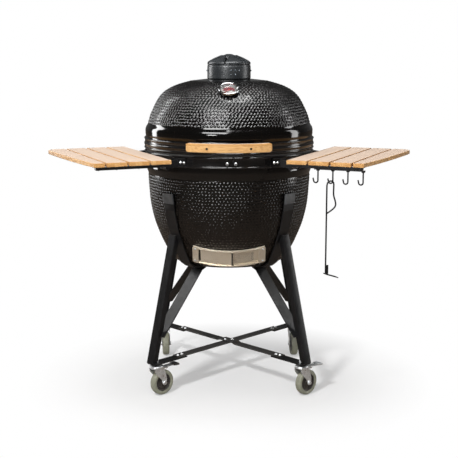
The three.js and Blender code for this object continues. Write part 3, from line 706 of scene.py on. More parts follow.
def beaded_shell(name, body, node, stretches, hole=None, keep=lambda theta, z: 1.0):
    """A closed shell of revolution. stretches is a list of (points, beaded). A hole through the wall is
    (first and last azimuth, outer low and high z, inner low and high z)."""
    points = np.vstack([part for part, _ in stretches])
    beaded = np.concatenate([[flag] * len(part) for part, flag in stretches])
    tangent = unit(np.roll(points, -1, axis=0) - points) + unit(points - np.roll(points, 1, axis=0))
    if points[0][0] == 0:
        tangent[0] = tangent[-1] = (1, 0)
    tangent = unit(tangent)
    outward = np.column_stack([tangent[:, 1], -tangent[:, 0]])
    theta = np.linspace(0, 2 * math.pi, COLUMNS, endpoint=False)[None, :]
    along = distances(points)
    first = along[beaded][0]
    last = along[beaded][-1]
    distance = (along - first)[:, None]

    def radius_at(s):
        return np.interp(s + first, along, points[:, 0])

    def fade(t, s):
        inside = np.clip(np.minimum(s, last - first - s) / 3.0, 0, 1)
        return inside * keep(t, np.interp(s + first, along, points[:, 1]))

    def relief(t, s):
        return np.where(beaded[:, None], bead_height(t, s, radius_at, fade), 0.0)

    height = relief(theta, distance)
    step = 0.25  # millimetres to either side, over which the beads' slopes are taken
    turn_step = step / 280  # about as far, round the egg
    rise_s = (relief(theta, distance + step) - relief(theta, distance - step)) / (2 * step)
    rise_t = (relief(theta + turn_step, distance) - relief(theta - turn_step, distance)) / (2 * turn_step)
    rise_t = rise_t / np.maximum(points[:, 0], 1.0)[:, None]
    r = points[:, :1] + outward[:, :1] * height
    z = points[:, 1:] + outward[:, 1:] * height
    sine, cosine = np.sin(theta), -np.cos(theta)
    corners = np.stack([r * sine, r * cosine, np.broadcast_to(z, r.shape)], axis=2)
    radial = outward[:, :1] - tangent[:, :1] * rise_s
    upward = outward[:, 1:] - tangent[:, 1:] * rise_s
    normals = unit(np.stack([
        radial * sine + cosine * rise_t,
        radial * cosine - sine * rise_t,
        np.broadcast_to(upward, r.shape),
    ], axis=2))
    shape = Shape(corners, grid_faces(points, points[0][0] == 0, hole))
    piece(name, shape, GLAZE, body, [node], normals=normals.reshape(-1, 3))


def grid_faces(points, open_ended, hole):
    """Quads between neighbouring rings of a lathe grid; the last ring joins the first unless open_ended."""

    def quad(a, b, i, j):
        """The face between rings a and b and columns i and j."""
        return a * COLUMNS + i, a * COLUMNS + j, b * COLUMNS + j, b * COLUMNS + i

    def nearest(rings, z):
        return min(rings, key=lambda ring: abs(points[ring][1] - z))

    rows = len(points)
    left_out = set()
    faces = []
    if hole:
        azimuths, outer_z, inner_z = hole
        widest = np.argmax(points[:, 0])
        out_low, out_high = (nearest(range(widest), z) for z in outer_z)
        in_low, in_high = (nearest(range(widest, rows), z) for z in inner_z)
        first, last = (round(az / 360 * COLUMNS) for az in azimuths)
        span = [column % COLUMNS for column in range(first, last + 1)]
        pierced = [*range(out_low, out_high), *range(in_high, in_low)]
        left_out = {(ring, column) for ring in pierced for column in span[:-1]}
        for i, j in zip(span, span[1:]):
            faces.append(quad(out_low, in_low, i, j))
            faces.append(quad(in_high, out_high, i, j))
        loop = [*range(out_low, out_high + 1), *range(in_high, in_low + 1)]
        faces.append(tuple(ring * COLUMNS + span[0] for ring in loop))
        faces.append(tuple(ring * COLUMNS + span[-1] for ring in loop)[::-1])
    pairs = [(ring, ring + 1) for ring in range(rows - 1)]
    if not open_ended:
        pairs.append((rows - 1, 0))
    for lower, upper in pairs:
        for i in range(COLUMNS):
            if (lower, i) not in left_out:
                faces.append(quad(lower, upper, i, (i + 1) % COLUMNS))
    return faces


def eased(points, radius):
    """An open outline with its corners rounded off."""
    return np.array(softened(points, radius, loop=False))


BEAD_GRID = 2.0  # millimetres between rings in the beaded stretches
RIM_INNER_R = RIM_R - WALL
DOME_FOOT = (292, 947)  # where the beads start, above the lid's smooth ring
BEADS_TOP_Z = 1098


def lid_shell():
    ring = eased([
        (RIM_R - WALL / 2, LID_RIM_Z), (RIM_R, LID_RIM_Z), (RIM_R, 897), (RIM_R - 1.2, 900),
        (RIM_R + 0.6, 908), (RIM_R + 0.8, 924), (RIM_R - 1.5, 933), (294.5, 942), DOME_FOOT,
    ], 2.5)[:-1]  # without its last point, which is the dome's first
    dome = spline([DOME_FOOT, (277.5, 989), (246, 1044), (202, 1075), (135, 1095.5), (82, 1102.6)], BEAD_GRID)
    neck = eased([(80, 1103), (73, 1104), (72, 1108), (72, NECK_TOP_Z), (50, NECK_TOP_Z), (50, 1086)], 2)
    ceiling = spline([
        (51, 1083), (120, 1073), (190, 1050), (240, 1008), (266, 940), (RIM_INNER_R, LID_RIM_Z + 3),
    ], 14)
    beaded_shell(
        "lid_shell_glazed", "lid", "lid_shell",
        [(ring, False), (dome, True), (neck, False), (ceiling, False)],
        keep=lambda theta, z: np.clip((BEADS_TOP_Z - z) / 3, 0, 1),
    )


def base_shell():
    foot = eased([(0.0, FOOT_Z), (146, FOOT_Z), (156, FOOT_Z + 2), (195, 449), (209, 459)], 4)
    flank = spline([(211, 461), (242, 521), (269, 589), (284.5, 656), (290.5, 723), (293, 768)], BEAD_GRID)
    rim = eased([
        (RIM_INNER_R, BASE_RIM_Z), (RIM_R, BASE_RIM_Z), (RIM_R, 806), (RIM_R - 0.3, 792), (300, 787),
        (295, 773), (293, 769),
    ], 2.5)[::-1]
    inside = spline([
        (140, 466), (180, 474), (212, 510), (250, 620), (267, 730), (RIM_INNER_R, BASE_RIM_Z - 3),
    ], 14)[::-1]
    inner_foot = np.array([(139, 466), (0.0, 466)])

    def keep(theta, z):
        """No beads under the draft door's plate."""
        r = np.interp(z, flank[:, 1], flank[:, 0])
        x, y = r * np.sin(theta), -r * np.cos(theta)
        row = VENT.inverted()[2]
        rise = row[0] * x + row[1] * y + row[2] * z + row[3]
        clear = np.maximum(np.abs(rise) - VENT_HALF - 1, np.abs(x) - VENT_HALF_WIDTH - 1)
        return np.where(y > 0, 1.0, np.clip(clear / 2.5, 0, 1))

    beaded_shell(
        "base_shell_glazed", "root", "base_shell",
        [(foot, False), (flank, True), (rim, False), (inside, False), (inner_foot, False)],
        hole=((-2, 21.5), (470, 515), (482, 522)),
        keep=keep,
    )


lid_shell()
base_shell()

# ---------------------------------------------------------------- bands and gaskets


def ribbed_band(name, z, body, node, ribs):
    """A steel band with rolled edges. ribs are the heights of its raised beads above its foot."""
    inner = RIM_R + 0.4
    flat = BAND_EDGE_R - 2.0
    outline = [(inner, z), (flat, z)]
    for low_z, high_z in ribs:
        middle = (low_z + high_z) / 2
        outline += [(flat, z + low_z), (BAND_EDGE_R, z + low_z + 1.6), (BAND_EDGE_R + 0.6, z + middle),
                    (BAND_EDGE_R, z + high_z - 1.6), (flat, z + high_z)]
    outline += [(flat, z + BAND_HEIGHT), (inner, z + BAND_HEIGHT)]
    piece(name, lathe(outline, 192, 0.9), ENAMEL, body, [node])


ribbed_band("lid_band_ribbed", LID_BAND_Z, "lid", "lid_band", [(0.5, 7.5), (12, 23), (33, 39.5)])
ribbed_band("base_band_ribbed", BASE_BAND_Z, "root", "base_band", [(0.5, 7), (33, 39.5)])


def gasket(name, body, node):
    z0, z1 = low(node).z, high(node).z
    inner, outer = 278, 299
    ring = lathe([(inner, z0), (outer, z0), (outer, z1), (inner, z1)], 128, 1.5)
    piece(name, ring, FELT, body, [node])


gasket("base_gasket_felt", "root", "base_gasket")
gasket("lid_gasket_felt", "lid", "lid_gasket")

# ---------------------------------------------------------------- inside the egg


def fire_ring():
    z0, z1 = low("fire_ring").z, high("fire_ring").z
    ring = lathe([(223, z0), (257, z0), (259, z1), (237, z1)], 96, 4)
    piece("fire_ring_clay", ring, CLAY, "root", ["fire_ring"])


def cooking_grid():
    """Round rods welded inside a hoop, on two stays."""
    z = (low("cooking_grid").z + high("cooking_grid").z) / 2
    hoop_r, rod_pitch, stay_x, stay_half = 253, 12.0, 95, 230
    angles = np.linspace(0, 2 * math.pi, 97)
    bars = [tube([(hoop_r * math.cos(a), hoop_r * math.sin(a), z) for a in angles], 3.1, 8, 12)]
    for row in range(-20, 21):
        y = row * rod_pitch
        half = math.sqrt(hoop_r**2 - y**2)
        bars.append(tube([(-half, y, z), (half, y, z)], 1.9, 6, 200))
    for x in (-stay_x, stay_x):
        bars.append(tube([(x, -stay_half, z - 1), (x, stay_half, z - 1)], 2.4, 6, 200))
    piece("cooking_grid_rods", joined(bars), STAINLESS, "root", ["cooking_grid"])


fire_ring()
cooking_grid()
dress("firebox", CLAY, 1.5)
dress("charcoal_grate", IRON, 1.0)

# ---------------------------------------------------------------- cap

CAP_R = high("cap_base").x
CAP_SLOTS = 6
CAP_PHASE = -10.5  # azimuth of the first slot


def at_each_slot(shape):
    """A shape drawn along x, repeated at each of the cap's slots."""
    return joined(shape.moved(facing(CAP_PHASE + 360 / CAP_SLOTS * i)) for i in range(CAP_SLOTS))


def cap_base():
    """The cylinder and the slotted plate that the roof turns over."""
    z0 = low("cap_base").z
    hood = lathe([
        (CAP_R - 1, z0), (CAP_R, z0 + 2), (CAP_R, 1146), (CAP_R - 1, 1148.5), (CAP_R - 0.6, 1153),
        (75, 1153.4), (49, 1167), (8, 1178.5), (8, 1174.5), (47, 1162.5), (73.5, 1149), (73.5, z0),
    ], 128, 0.8)
    made = piece("cap_base_cast", hood, IRON, "lid", ["cap_base"])
    inner, outer, half = 26, 60, 5
    quarter = math.pi / 2
    end = [(outer + half * math.cos(a), half * math.sin(a)) for a in np.linspace(-quarter, quarter, 9)]
    carve(made, at_each_slot(prism([(inner, -half), *end, (inner, half)], 1150, 1190)))


def cap_top():
    """The cast roof, which turns over the base and opens or closes its slots."""
    roof = lathe([
        (0, high("cap_top").z), (9, 1190.6), (15, 1188.5), (33, 1181.6), (52, 1174.4), (69, 1167),
        (76, 1163.3), (77.6, 1160), (77.6, 1154.6), (76, 1154.6), (74.5, 1156.4), (50, 1169), (12, 1180.5),
        (0, 1180.5),
    ], 128, 1.2)
    made = piece("cap_roof_cast", roof, IRON, "cap", ["cap_top"])
    keyhole = [(30, -5.5), (54, -5.5), (58, -3), (90, -3), (90, 3), (58, 3), (54, 5.5), (30, 5.5)]
    carve(made, at_each_slot(prism(keyhole, 1140, 1195)))


def cap_ribs():
    """A raised rib on each side of every slot."""
    ridge = [(24, 1183), (52, 1171.5), (74, 1161), (75, 1165.8), (52, 1177.4), (26, 1187.4)]
    pair = joined(side_plate(ridge, y - 1.3, y + 1.3) for y in (-8.2, 8.2))
    flat_piece("cap_roof_ribs", at_each_slot(pair), IRON, "cap", 0.9)


def cap_fittings():
    """Rivets on the cylinder's front and a screw on each side."""
    seat_r = CAP_R - 0.2
    heads = [outward_bolt(az, seat_r, 1134, 2.0, 1.8) for az in (5, 17, 28)]
    heads += [outward_bolt(az, seat_r, 1119, 2.0, 1.8) for az in (5, 17)]
    heads += [outward_bolt(az, seat_r, 1132, 2.6, 3.6) for az in (-90, 90)]
    piece("cap_rivets", joined(heads), RIVET_GREY, "lid")


cap_base()
cap_top()
cap_ribs()
cap_fittings()

# ---------------------------------------------------------------- thermometer

DIAL_AXIS = -Vector(JOINTS["thermometer_needle_turn"]["axis"])
DIAL_UP = DIAL_AXIS.cross(Vector((1, 0, 0)))
DIAL = Matrix.Translation(anchor("thermometer_needle_turn")) @ Matrix((
    (1, DIAL_UP.x, DIAL_AXIS.x, 0),
    (0, DIAL_UP.y, DIAL_AXIS.y, 0),
    (0, DIAL_UP.z, DIAL_AXIS.z, 0),
    (0, 0, 0, 1),
))
DIAL_FACE = 6.2  # the dial's height over the needle's pivot
DIAL_SWEEP = 270
DIAL_MARKS = 28


def ring_sector(r0, r1, a0, a1, z0, z1, steps=10):
    """A flat piece of a ring, with angles in degrees clockwise from the dial's top."""
    stops = [math.radians(90 - (a0 + (a1 - a0) * i / steps)) for i in range(steps + 1)]
    outer = [(r1 * math.cos(a), r1 * math.sin(a)) for a in stops]
    inner = [(r0 * math.cos(a), r0 * math.sin(a)) for a in reversed(stops)]
    return prism(outer + inner, z0, z1)


def thermometer():
    """A chrome case with a plain dial: tick marks, a red zone and no lettering."""
    case = lathe([
        (0, -58), (3, -55), (4, -50), (4, 2), (27, 2), (33, 4.5), (36, 8), (36, 13), (35, 15.4), (33, 16),
        (31, 15), (30.8, DIAL_FACE - 0.2), (0, DIAL_FACE - 0.2),
    ], 96, 0.8)
    piece("thermometer_bezel", case.moved(DIAL), CHROME, "lid", ["thermometer_case"])
    face = lathe([(0, DIAL_FACE - 0.4), (30.6, DIAL_FACE - 0.4), (30.6, DIAL_FACE), (0, DIAL_FACE)], 64)
    piece("thermometer_dial", face.moved(DIAL), DIAL_WHITE, "lid")
    lens = lathe([(0, 11.5), (30.5, 11.5), (30.5, 13), (24, 13.6), (12, 14), (0, 14.1)], 64)
    piece("thermometer_glass", lens.moved(DIAL), LENS, "lid", ["thermometer_lens"])
    ticks = []
    for i in range(DIAL_MARKS + 1):
        angle = DIAL_SWEEP * (i / DIAL_MARKS - 0.5)
        inner = 22 if i % 4 == 0 else 24.5
        ticks.append(ring_sector(inner, 27.5, angle - 0.7, angle + 0.7, DIAL_FACE, DIAL_FACE + 0.3, 2))
    piece("thermometer_marks", joined(ticks).moved(DIAL), DIAL_BLACK, "lid", smooth=False)
    zone = ring_sector(4, 20.5, -100, 100, DIAL_FACE, DIAL_FACE + 0.25, 24)
    piece("thermometer_zone", zone.moved(DIAL), DIAL_RED, "lid", smooth=False)
    dress("thermometer_needle", NEEDLE_RED, 0.2)


thermometer()

# ---------------------------------------------------------------- handle

HANDLE_R = 343
HANDLE_SPAN = 24.0  # degrees from the handle's middle to each end
HANDLE_Z = 886.15
HANDLE_SCREW_AZ = 12
HANDLE_SCREW_Z = 883


def rounded_section(half_wide, half_high, radius, steps=5):
    """The outline of a bar with rounded edges, around its middle."""
    outline = []
    for x, z, start in ((1, 1, 0), (-1, 1, 90), (-1, -1, 180), (1, -1, 270)):
        for i in range(steps + 1):
            a = math.radians(start + 90 * i / steps)
            outline.append((x * (half_wide - radius) + radius * math.cos(a),
                            z * (half_high - radius) + radius * math.sin(a)))
    return outline


def handle_grip():
    """A curved wooden bar that hangs a little lower in its middle and rounds off at its ends."""
    half_thick, half_high, sag = 12, 14.85, 1.2
    sections = []
    for stop in np.linspace(-1, 1, 49):
        end = max(0.0, 1 - (1 - abs(stop)) * 30)
        shrink = 1 - 0.18 * end**2
        middle = HANDLE_Z - sag * (1 - stop**2)
        section = []
        for r, z in rounded_section(half_thick * shrink, half_high * shrink, 4.0):
            section.append((*around(stop * HANDLE_SPAN, HANDLE_R + r), middle + z))
        sections.append(section)
    made = piece("handle_grip_bamboo", loft(sections), GRIP_BAMBOO, "lid", ["handle_grip"])
    holes = []
    screws = []
    for az in (-HANDLE_SCREW_AZ, HANDLE_SCREW_AZ):
        at = facing(az) @ shift(HANDLE_R, 0, HANDLE_SCREW_Z) @ turn(90, "Y")
        holes.append(lathe([(0, 6), (4.2, 6), (4.4, 11), (5.6, 13), (0, 13)], 24).moved(at))
        screws.append(button_bolt(2.9, 4.2).moved(at @ shift(0, 0, 5.8)))
    carve(made, joined(holes))
    piece("handle_screws", joined(screws), BLACK, "lid")


handle_grip()
dress("handle_bracket", BLACK)

# ---------------------------------------------------------------- hinge


def hinge_pin():
    reach = high("hinge_pin").x
    outline = mirrored([(0, reach), (8, reach), (9, reach - 1), (9, reach - 4.5), (5, reach - 5)])
    pin = lathe(outline, 32, 0.4).moved(Matrix.Translation(HINGE) @ turn(90, "Y"))
    piece("hinge_pin_turned", pin, ZINC, "root", ["hinge_pin"])


def hinge_spring():
    """Two coils round the pin, joined by a loop that presses against the base."""
    coil_r, wire_r, turns = 9.5, 2.0, 6
    inner_x, length = 14, 32
    wires = []
    for side in (-1, 1):
        coil = []
        for t in np.linspace(0, 1, 24 * turns + 1):
            a = 2 * math.pi * turns * t
            coil.append((side * (inner_x + length * t), coil_r * math.cos(a), coil_r * math.sin(a)))
        wires.append(tube(coil, wire_r, 8, 2.4))
    half = [(inner_x, coil_r, 0), (14, 7, 7), (14, 0, coil_r + 1), (13, -20, 12), (11, -38, 13)]
    loop = half + [(-x, y, z) for x, y, z in reversed(half)]
    wires.append(tube(loop, wire_r, 8, 3))
    spring = joined(wires).moved(Matrix.Translation(HINGE))
    piece("hinge_spring_wire", spring, ZINC, "root", ["hinge_spring"])


def hinge_bolts():
    for body, z in (("root", SEAM_Z - 23), ("lid", SEAM_Z + 24)):
        heads = [outward_bolt(180 + az, BAND_EDGE_R + 3.6, z, 4.2, 4) for az in (-11, -4, 4, 11)]
        piece("hinge_bolts_" + body, joined(heads), ZINC, body)


hinge_pin()
hinge_spring()
hinge_bolts()
for node_name in ("hinge_base_bracket", "hinge_lid_bracket"):
    dress(node_name, BLACK, 1.0)

# ---------------------------------------------------------------- band bolts and closure


BAND_BOLT_Z = 829
BRACKET_SEAT_R = 305  # where the shelf brackets meet the band


def band_fittings():
    """The lower band's closing bolts and the strip above them."""
    heads = [outward_bolt(az, BAND_EDGE_R - 1.8, BAND_BOLT_Z, 4.0, 5.0) for az in (-1.2, 4.2)]
    piece("base_band_bolts", joined(heads), ZINC, "root")
    strip = block(0, 5, -1.6, 1.6, BAND_BOLT_Z + 3, BASE_BAND_Z + BAND_HEIGHT + 1)
    strip = strip.moved(facing(2.8) @ shift(BAND_EDGE_R - 2, 0, 0))
    flat_piece("base_band_closure", strip, BLACK, "root", 0.8)


band_fittings()

# ---------------------------------------------------------------- draft door

VENT_R = 274  # from the leaning axis to the plate's seat
VENT_AZ = math.degrees(math.asin(VENT_HALF_WIDTH / VENT_R))
PANEL_HALF = VENT_HALF - 7
WINDOW = (-1.7, 18.3, -19, 19)  # left and right azimuth, low and high z
SIDE_SLOT = (-22.4, -20.5)
DOOR_AZ = (-20.8, 2.6)
SCREEN_AZ = (-2.5, 20.3)


def vent_point(az, z, offset):
    return *around(az, VENT_R + offset), z


def vent_panel(az0, az1, z0, z1, near, far, corner_r=0.0):
    """A sheet bent round the draft door's axis, standing off its seat from near to far. Its corners are
    rounded by corner_r."""
    per_degree = math.radians(VENT_R)
    length = (az1 - az0) * per_degree
    stops = list(np.linspace(0, length, max(3, int((az1 - az0) / 1.5) + 2)))
    if corner_r:
        fillet = [corner_r * (1 - math.cos(a)) for a in np.linspace(0, math.pi / 2, 7)]
        stops = [s for s in stops if corner_r < s < length - corner_r]
        stops = sorted({round(s, 4) for s in [*stops, *fillet, *(length - s for s in fillet)]})
    sections = []
    for s in stops:
        gap = min(s, length - s)
        cut = corner_r - math.sqrt(max(corner_r**2 - (corner_r - gap) ** 2, 0)) if gap < corner_r else 0
        az = az0 + s / per_degree
        sections.append([vent_point(az, z0 + cut, near), vent_point(az, z0 + cut, far),
                         vent_point(az, z1 - cut, far), vent_point(az, z1 - cut, near)])
    return loft(sections)


def vent_frame():
    """The plate behind the door, round the air opening and a narrow slot, and the rails that the door
    slides in."""
    left, right, bottom, top = WINDOW
    slot_left, slot_right = SIDE_SLOT
    panels = [
        (-VENT_AZ, slot_left, -VENT_HALF, VENT_HALF),
        (slot_left, slot_right, -VENT_HALF, -PANEL_HALF),
        (slot_left, slot_right, PANEL_HALF, VENT_HALF),
        (slot_right, left, -VENT_HALF, VENT_HALF),
        (right, VENT_AZ, -VENT_HALF, VENT_HALF),
        (left, right, -VENT_HALF, bottom),
        (left, right, top, VENT_HALF),
    ]
    sheets = [vent_panel(*panel, 0.9, 2.0) for panel in panels]
    edge = VENT_AZ - 0.8
    for side in (-1, 1):
        web = sorted((side * (PANEL_HALF + 0.4), side * (VENT_HALF - 0.5)))
        lip = sorted((side * (PANEL_HALF + 2.4), side * (VENT_HALF - 0.2)))
        sheets += [vent_panel(-edge, edge, *web, 1.2, 7), vent_panel(-22.2, 21.0, *lip, 6.9, 8.0)]
    frame_shape = joined(sheets).moved(VENT)
    flat_piece("vent_frame_sheet", frame_shape, STAINLESS, "root", 0.35, ["vent_frame"])


def vent_covers():
    """The plates screwed over the rails' ends."""
    covers = [
        vent_panel(-VENT_AZ, -22.3, -VENT_HALF, VENT_HALF, 6.2, 8.4, 6),
        vent_panel(21.3, VENT_AZ, -VENT_HALF, VENT_HALF, 6.2, 8.4, 6),
    ]
    flat_piece("vent_frame_covers", joined(covers).moved(VENT), STAINLESS, "root", 0.5)
    screws = []
    for az in (-24.8, 24.8):
        for z in (-VENT_HALF + 8, VENT_HALF - 8):
            screws.append(outward_bolt(az, VENT_R + 8.2, z, 2.6, 2.4))
    piece("vent_screws", joined(screws).moved(VENT), ZINC, "root")


def vent_door():
    left, right = DOOR_AZ
    panel = vent_panel(left, right, -PANEL_HALF, PANEL_HALF, 4.2, 5.6, 2)
    tab = vent_panel(right - 0.75, right, -PANEL_HALF + 3, PANEL_HALF - 3, 5.2, 14)
    flat_piece("vent_door_sheet", panel.moved(VENT), STAINLESS, "vent_door", 0.4, ["vent_door"])
    flat_piece("vent_door_tab", tab.moved(VENT), BLACK, "vent_door", 0.4)


def vent_screen():
    """Sheet steel with a field of small air holes, wider ones beside the lip it is pushed by. Each hole
    sits in its own square of the sheet."""
    near, far = 2.6, 3.4
    az0, az1 = SCREEN_AZ
    columns, rows = 28, 13
    half_az = (az1 - az0) / columns / 2
    half_z = PANEL_HALF / rows
    square = [(-1, -1), (0, -1), (1, -1), (1, 0), (1, 1), (0, 1), (-1, 1), (-1, 0)]
    corners = []
    faces = []
    for i in range(columns):
        for j in range(rows):
            az = az0 + (2 * i + 1) * half_az
            z = -PANEL_HALF + (2 * j + 1) * half_z
            hole = 0.8 if 16.4 < az < 18.9 else 0.6
            circle = [(u * hole / math.hypot(u, v), v * hole / math.hypot(u, v)) for u, v in square]
            start = len(corners)
            for offset in (near, far):
                corners += [vent_point(az + u * half_az, z + v * half_z, offset) for u, v in square + circle]
            for k in range(8):
                n = (k + 1) % 8
                faces.append((start + 16 + k, start + 16 + n, start + 24 + n, start + 24 + k))
                faces.append((start + n, start + k, start + 8 + k, start + 8 + n))
                faces.append((start + 24 + k, start + 24 + n, start + 8 + n, start + 8 + k))
    lip = vent_panel(19.0, 20.2, -PANEL_HALF + 2, PANEL_HALF - 2, 3.3, 4.0)
    screen = (Shape(corners, faces) + lip).moved(VENT)
    made = piece(
        "vent_screen_mesh", screen, STAINLESS, "vent_screen", ["vent_screen"], smooth=False,
    )
    weld = made.modifiers.new("weld", "WELD")
    weld.merge_threshold = 0.00001


vent_frame()
vent_covers()
vent_door()
vent_screen()

# ---------------------------------------------------------------- shelves

SHELF_AZ = 66.5  # the azimuth that each shelf reaches out to
SLAT_PITCH = 76
SLAT_WIDTH = 70
SHELF_INNER_X = 312.4
SHELF_FRONT_Y = -243.9
SHELF_REAR_Y = 273.1
SHELF_END_X = 577  # front end of the outermost slat's curved edge
OUTER_SLAT_X = SHELF_INNER_X + 3 * SLAT_PITCH
SHELF_OUTER_X = OUTER_SLAT_X + SLAT_WIDTH


def shelf_frame_matrix(side):
    """The right shelf's frame, or its mirror image on the left."""
    return facing(side * SHELF_AZ) @ Matrix.Diagonal((1, side, 1, 1))


def quadratic(a, b, c, steps):
    a, b, c = Vector(a), Vector(b), Vector(c)
    return [tuple(a * (1 - t) ** 2 + b * 2 * t * (1 - t) + c * t**2) for t in np.linspace(0, 1, steps + 1)]


def outer_slat(word, side, material):
    """The outermost slat, with its curved edge and rounded rear corner."""
    rounding = 42
    middle = (SHELF_FRONT_Y + SHELF_REAR_Y) / 2
    bend_end = (SHELF_OUTER_X, SHELF_REAR_Y - rounding)
    edge = quadratic((SHELF_END_X, SHELF_FRONT_Y), (SHELF_OUTER_X - 6, middle - 60), bend_end, 24)
    rear = quadratic(bend_end, (SHELF_OUTER_X, SHELF_REAR_Y), (SHELF_OUTER_X - rounding, SHELF_REAR_Y), 12)
    outline = [(OUTER_SLAT_X, SHELF_FRONT_Y), *edge, *rear[1:], (OUTER_SLAT_X, SHELF_REAR_Y)]
    board = prism(outline, SHELF_TOP_Z - SLAT_THICK, SHELF_TOP_Z).moved(shelf_frame_matrix(side))
    made = piece(word + "_slat_4_curved", board, material, word + "_shelf", [word + "_slat_4"])
    bevel(made, 2.6, 3)


def slat_screws(word, side):
    """Screws that hold each slat from below, one at each end."""
    heads = []
    for slat in range(4):
        inset = SLAT_WIDTH / 2 if slat < 3 else 20
        x = SHELF_INNER_X + slat * SLAT_PITCH + inset
        for y in (SHELF_FRONT_Y + 11, SHELF_REAR_Y - 11):
            seat = shift(x, y, SHELF_TOP_Z - SLAT_THICK - 9.3) @ turn(180, "X")
            heads.append(button_bolt(3.4, 2.6).moved(shelf_frame_matrix(side) @ seat))
    piece(word + "_slat_screws", joined(heads), ZINC, word + "_shelf")


def bracket_bolts(word, side):
    """Two bolts through each bracket's seat into the lower band."""
    heads = []
    for y, outward in ((-166, -1), (195, 1)):
        az = math.degrees(math.asin(y / BRACKET_SEAT_R))
        for step in (1.5 * outward, 4.1 * outward):
            seat = turn(az + step, "Z") @ shift(BAND_EDGE_R + 4.2, 0, BAND_BOLT_Z) @ turn(90, "Y")
            heads.append(button_bolt(3.2, 3.6).moved(shelf_frame_matrix(side) @ seat))
    piece(word + "_bracket_bolts", joined(heads), ZINC, "root")


def shelf(word, side):
    wood = bamboo(word + "_bamboo", -(side * SHELF_AZ - 90) - 90)
    for number in (1, 2, 3):
        dress(f"{word}_slat_{number}", wood, 2.6)
    outer_slat(word, side, wood)
    slat_screws(word, side)
    bracket_bolts(word, side)
    for steel in ("_shelf_frame", "_front_shelf_bracket", "_rear_shelf_bracket"):
        dress(word + steel, BLACK, 0.8)


shelf("left", -1)
shelf("right", 1)

# ---------------------------------------------------------------- hooks and ash tool

HOOK_X = 420  # the first hook, in the right shelf's frame
HOOK_PITCH = 51
HOOK_Y = SHELF_FRONT_Y + 10
HOOK_TOP_Z = SHELF_TOP_Z - SLAT_THICK - 9.8
HOOK_BEND_R = 7.5
HOOK_BEND_Z = 784
WIRE_R = 2.5


def hook(x):
    """A wire that hangs from the strip, ends in a bend and is held by a riveted head."""
    bend = [(x - HOOK_BEND_R * (1 - math.cos(a)), HOOK_Y, HOOK_BEND_Z - HOOK_BEND_R * math.sin(a))
            for a in np.linspace(0, math.pi, 7)]
    shank = [(x, HOOK_Y, HOOK_TOP_Z - 1.5), (x, HOOK_Y, HOOK_BEND_Z + 12)]
    tip = (x - 2 * HOOK_BEND_R - 2, HOOK_Y, HOOK_BEND_Z + 8)
    head = lathe([(0, -4), (5, -4), (6, -2.6), (6, 0), (0, 0)], 20)
    return tube([*shank, *bend, tip], WIRE_R, 12, 1.5) + head.moved(shift(x, HOOK_Y, HOOK_TOP_Z - 2.8))


def hooks():
    place = shelf_frame_matrix(1)
    wires = joined(hook(HOOK_X + i * HOOK_PITCH) for i in range(4))
    made = piece("hook_wires", wires.moved(place), BLACK, "right_shelf")
    smooth_by_angle(made, 40)
    last_x = HOOK_X + 3 * HOOK_PITCH
    strip = block(HOOK_X - 12, last_x + 6, HOOK_Y - 7, HOOK_Y + 7, HOOK_TOP_Z - 3, HOOK_TOP_Z)
    flat_piece("hook_strip_bar", strip.moved(place), BLACK, "right_shelf", 0.8, ["hook_strip"])


def ash_tool():
    """A wire with a looped grip, and a blade across its lower end. It is drawn around its hanging point."""
    place = Matrix.Translation(anchor("ash_tool_swing")) @ facing(SHELF_AZ) @ turn(45, "Z")
    foot = -310
    line = [
        (-13, foot + 2), (-13, -220), (-13, -110), (-13, -24), (-12.4, -12), (-8.5, -3), (0, 0),
        (8.5, -3), (12, -12), (12, -45), (18, -66), (20, -80), (12, -92), (-12, -107),
    ]
    wire = tube([(x, 0, z) for x, z in line], WIRE_R + 0.1, 12, 2)
    piece("ash_tool_wire", wire.moved(place), BLACK, "ash_tool", ["ash_tool"])
    tab = block(-15, -3, -1.6, 1.6, foot, foot + 30)
    flat_piece("ash_tool_tab", tab.moved(place), BLACK, "ash_tool", 0.6)
    edge = [(-16, foot + 2.5), (30, foot - 12.5), (29.5, foot - 15.5), (-16, foot - 0.5)]
    blade = side_plate(edge, -12, 12)
    flat_piece("ash_tool_blade", blade.moved(place), BLACK, "ash_tool", 0.7)


hooks()
ash_tool()

# ---------------------------------------------------------------- stand

LEGS = {"front_left": -45, "front_right": 45, "rear_left": -135, "rear_right": 135}


def strap_pads():
    """A rubber pad over the top of each strap, between the strap and the egg's beads."""
    outline = softened([(294.5, 680), (298.6, 716), (302.6, 715.6), (298.6, 679.6)], 1.0)
    pads = joined(side_plate(outline, -25, 25).moved(facing(az)) for az in LEGS.values())
    flat_piece("strap_pads", pads, PAD, "root", 1.0)


def cross_bar_bolts():
    """Two bolts where each bar laps its foot plate, and two at the crossing, with nuts below."""
    top = high("cross_bar_lower").z
    crossing_top = high("cross_bar_upper").z
    bar_thick, nut_high = 4.2, 5
    head = button_bolt(4.2, 4.2)
    nut = hex_nut(5, nut_high).moved(shift(0, 0, -bar_thick - nut_high))
    laps = [facing(az) @ shift(r, 0, top) for az in LEGS.values() for r in (241, 259)]
    heads = [head.moved(lap) for lap in laps] + [head.moved(shift(x, 0, crossing_top)) for x in (-13, 13)]
    nuts = [nut.moved(lap) for lap in laps] + [nut.moved(shift(x, 0, top)) for x in (-13, 13)]
    piece("cross_bar_bolts", joined(heads), ZINC, "root")
    flat_piece("cross_bar_nuts", joined(nuts), ZINC, "root", 0.5)


def stem_nuts():
    """The nuts that hold the casters' stems over the foot plates."""
    nut_high = 6.8
    nuts = []
    for word in LEGS:
        stem = anchor(word + "_swivel")
        nuts.append(hex_nut(9, nut_high).moved(shift(stem.x, stem.y, high(word + "_fork").z - nut_high)))
    flat_piece("caster_stem_nuts", joined(nuts), ZINC, "root", 0.6)


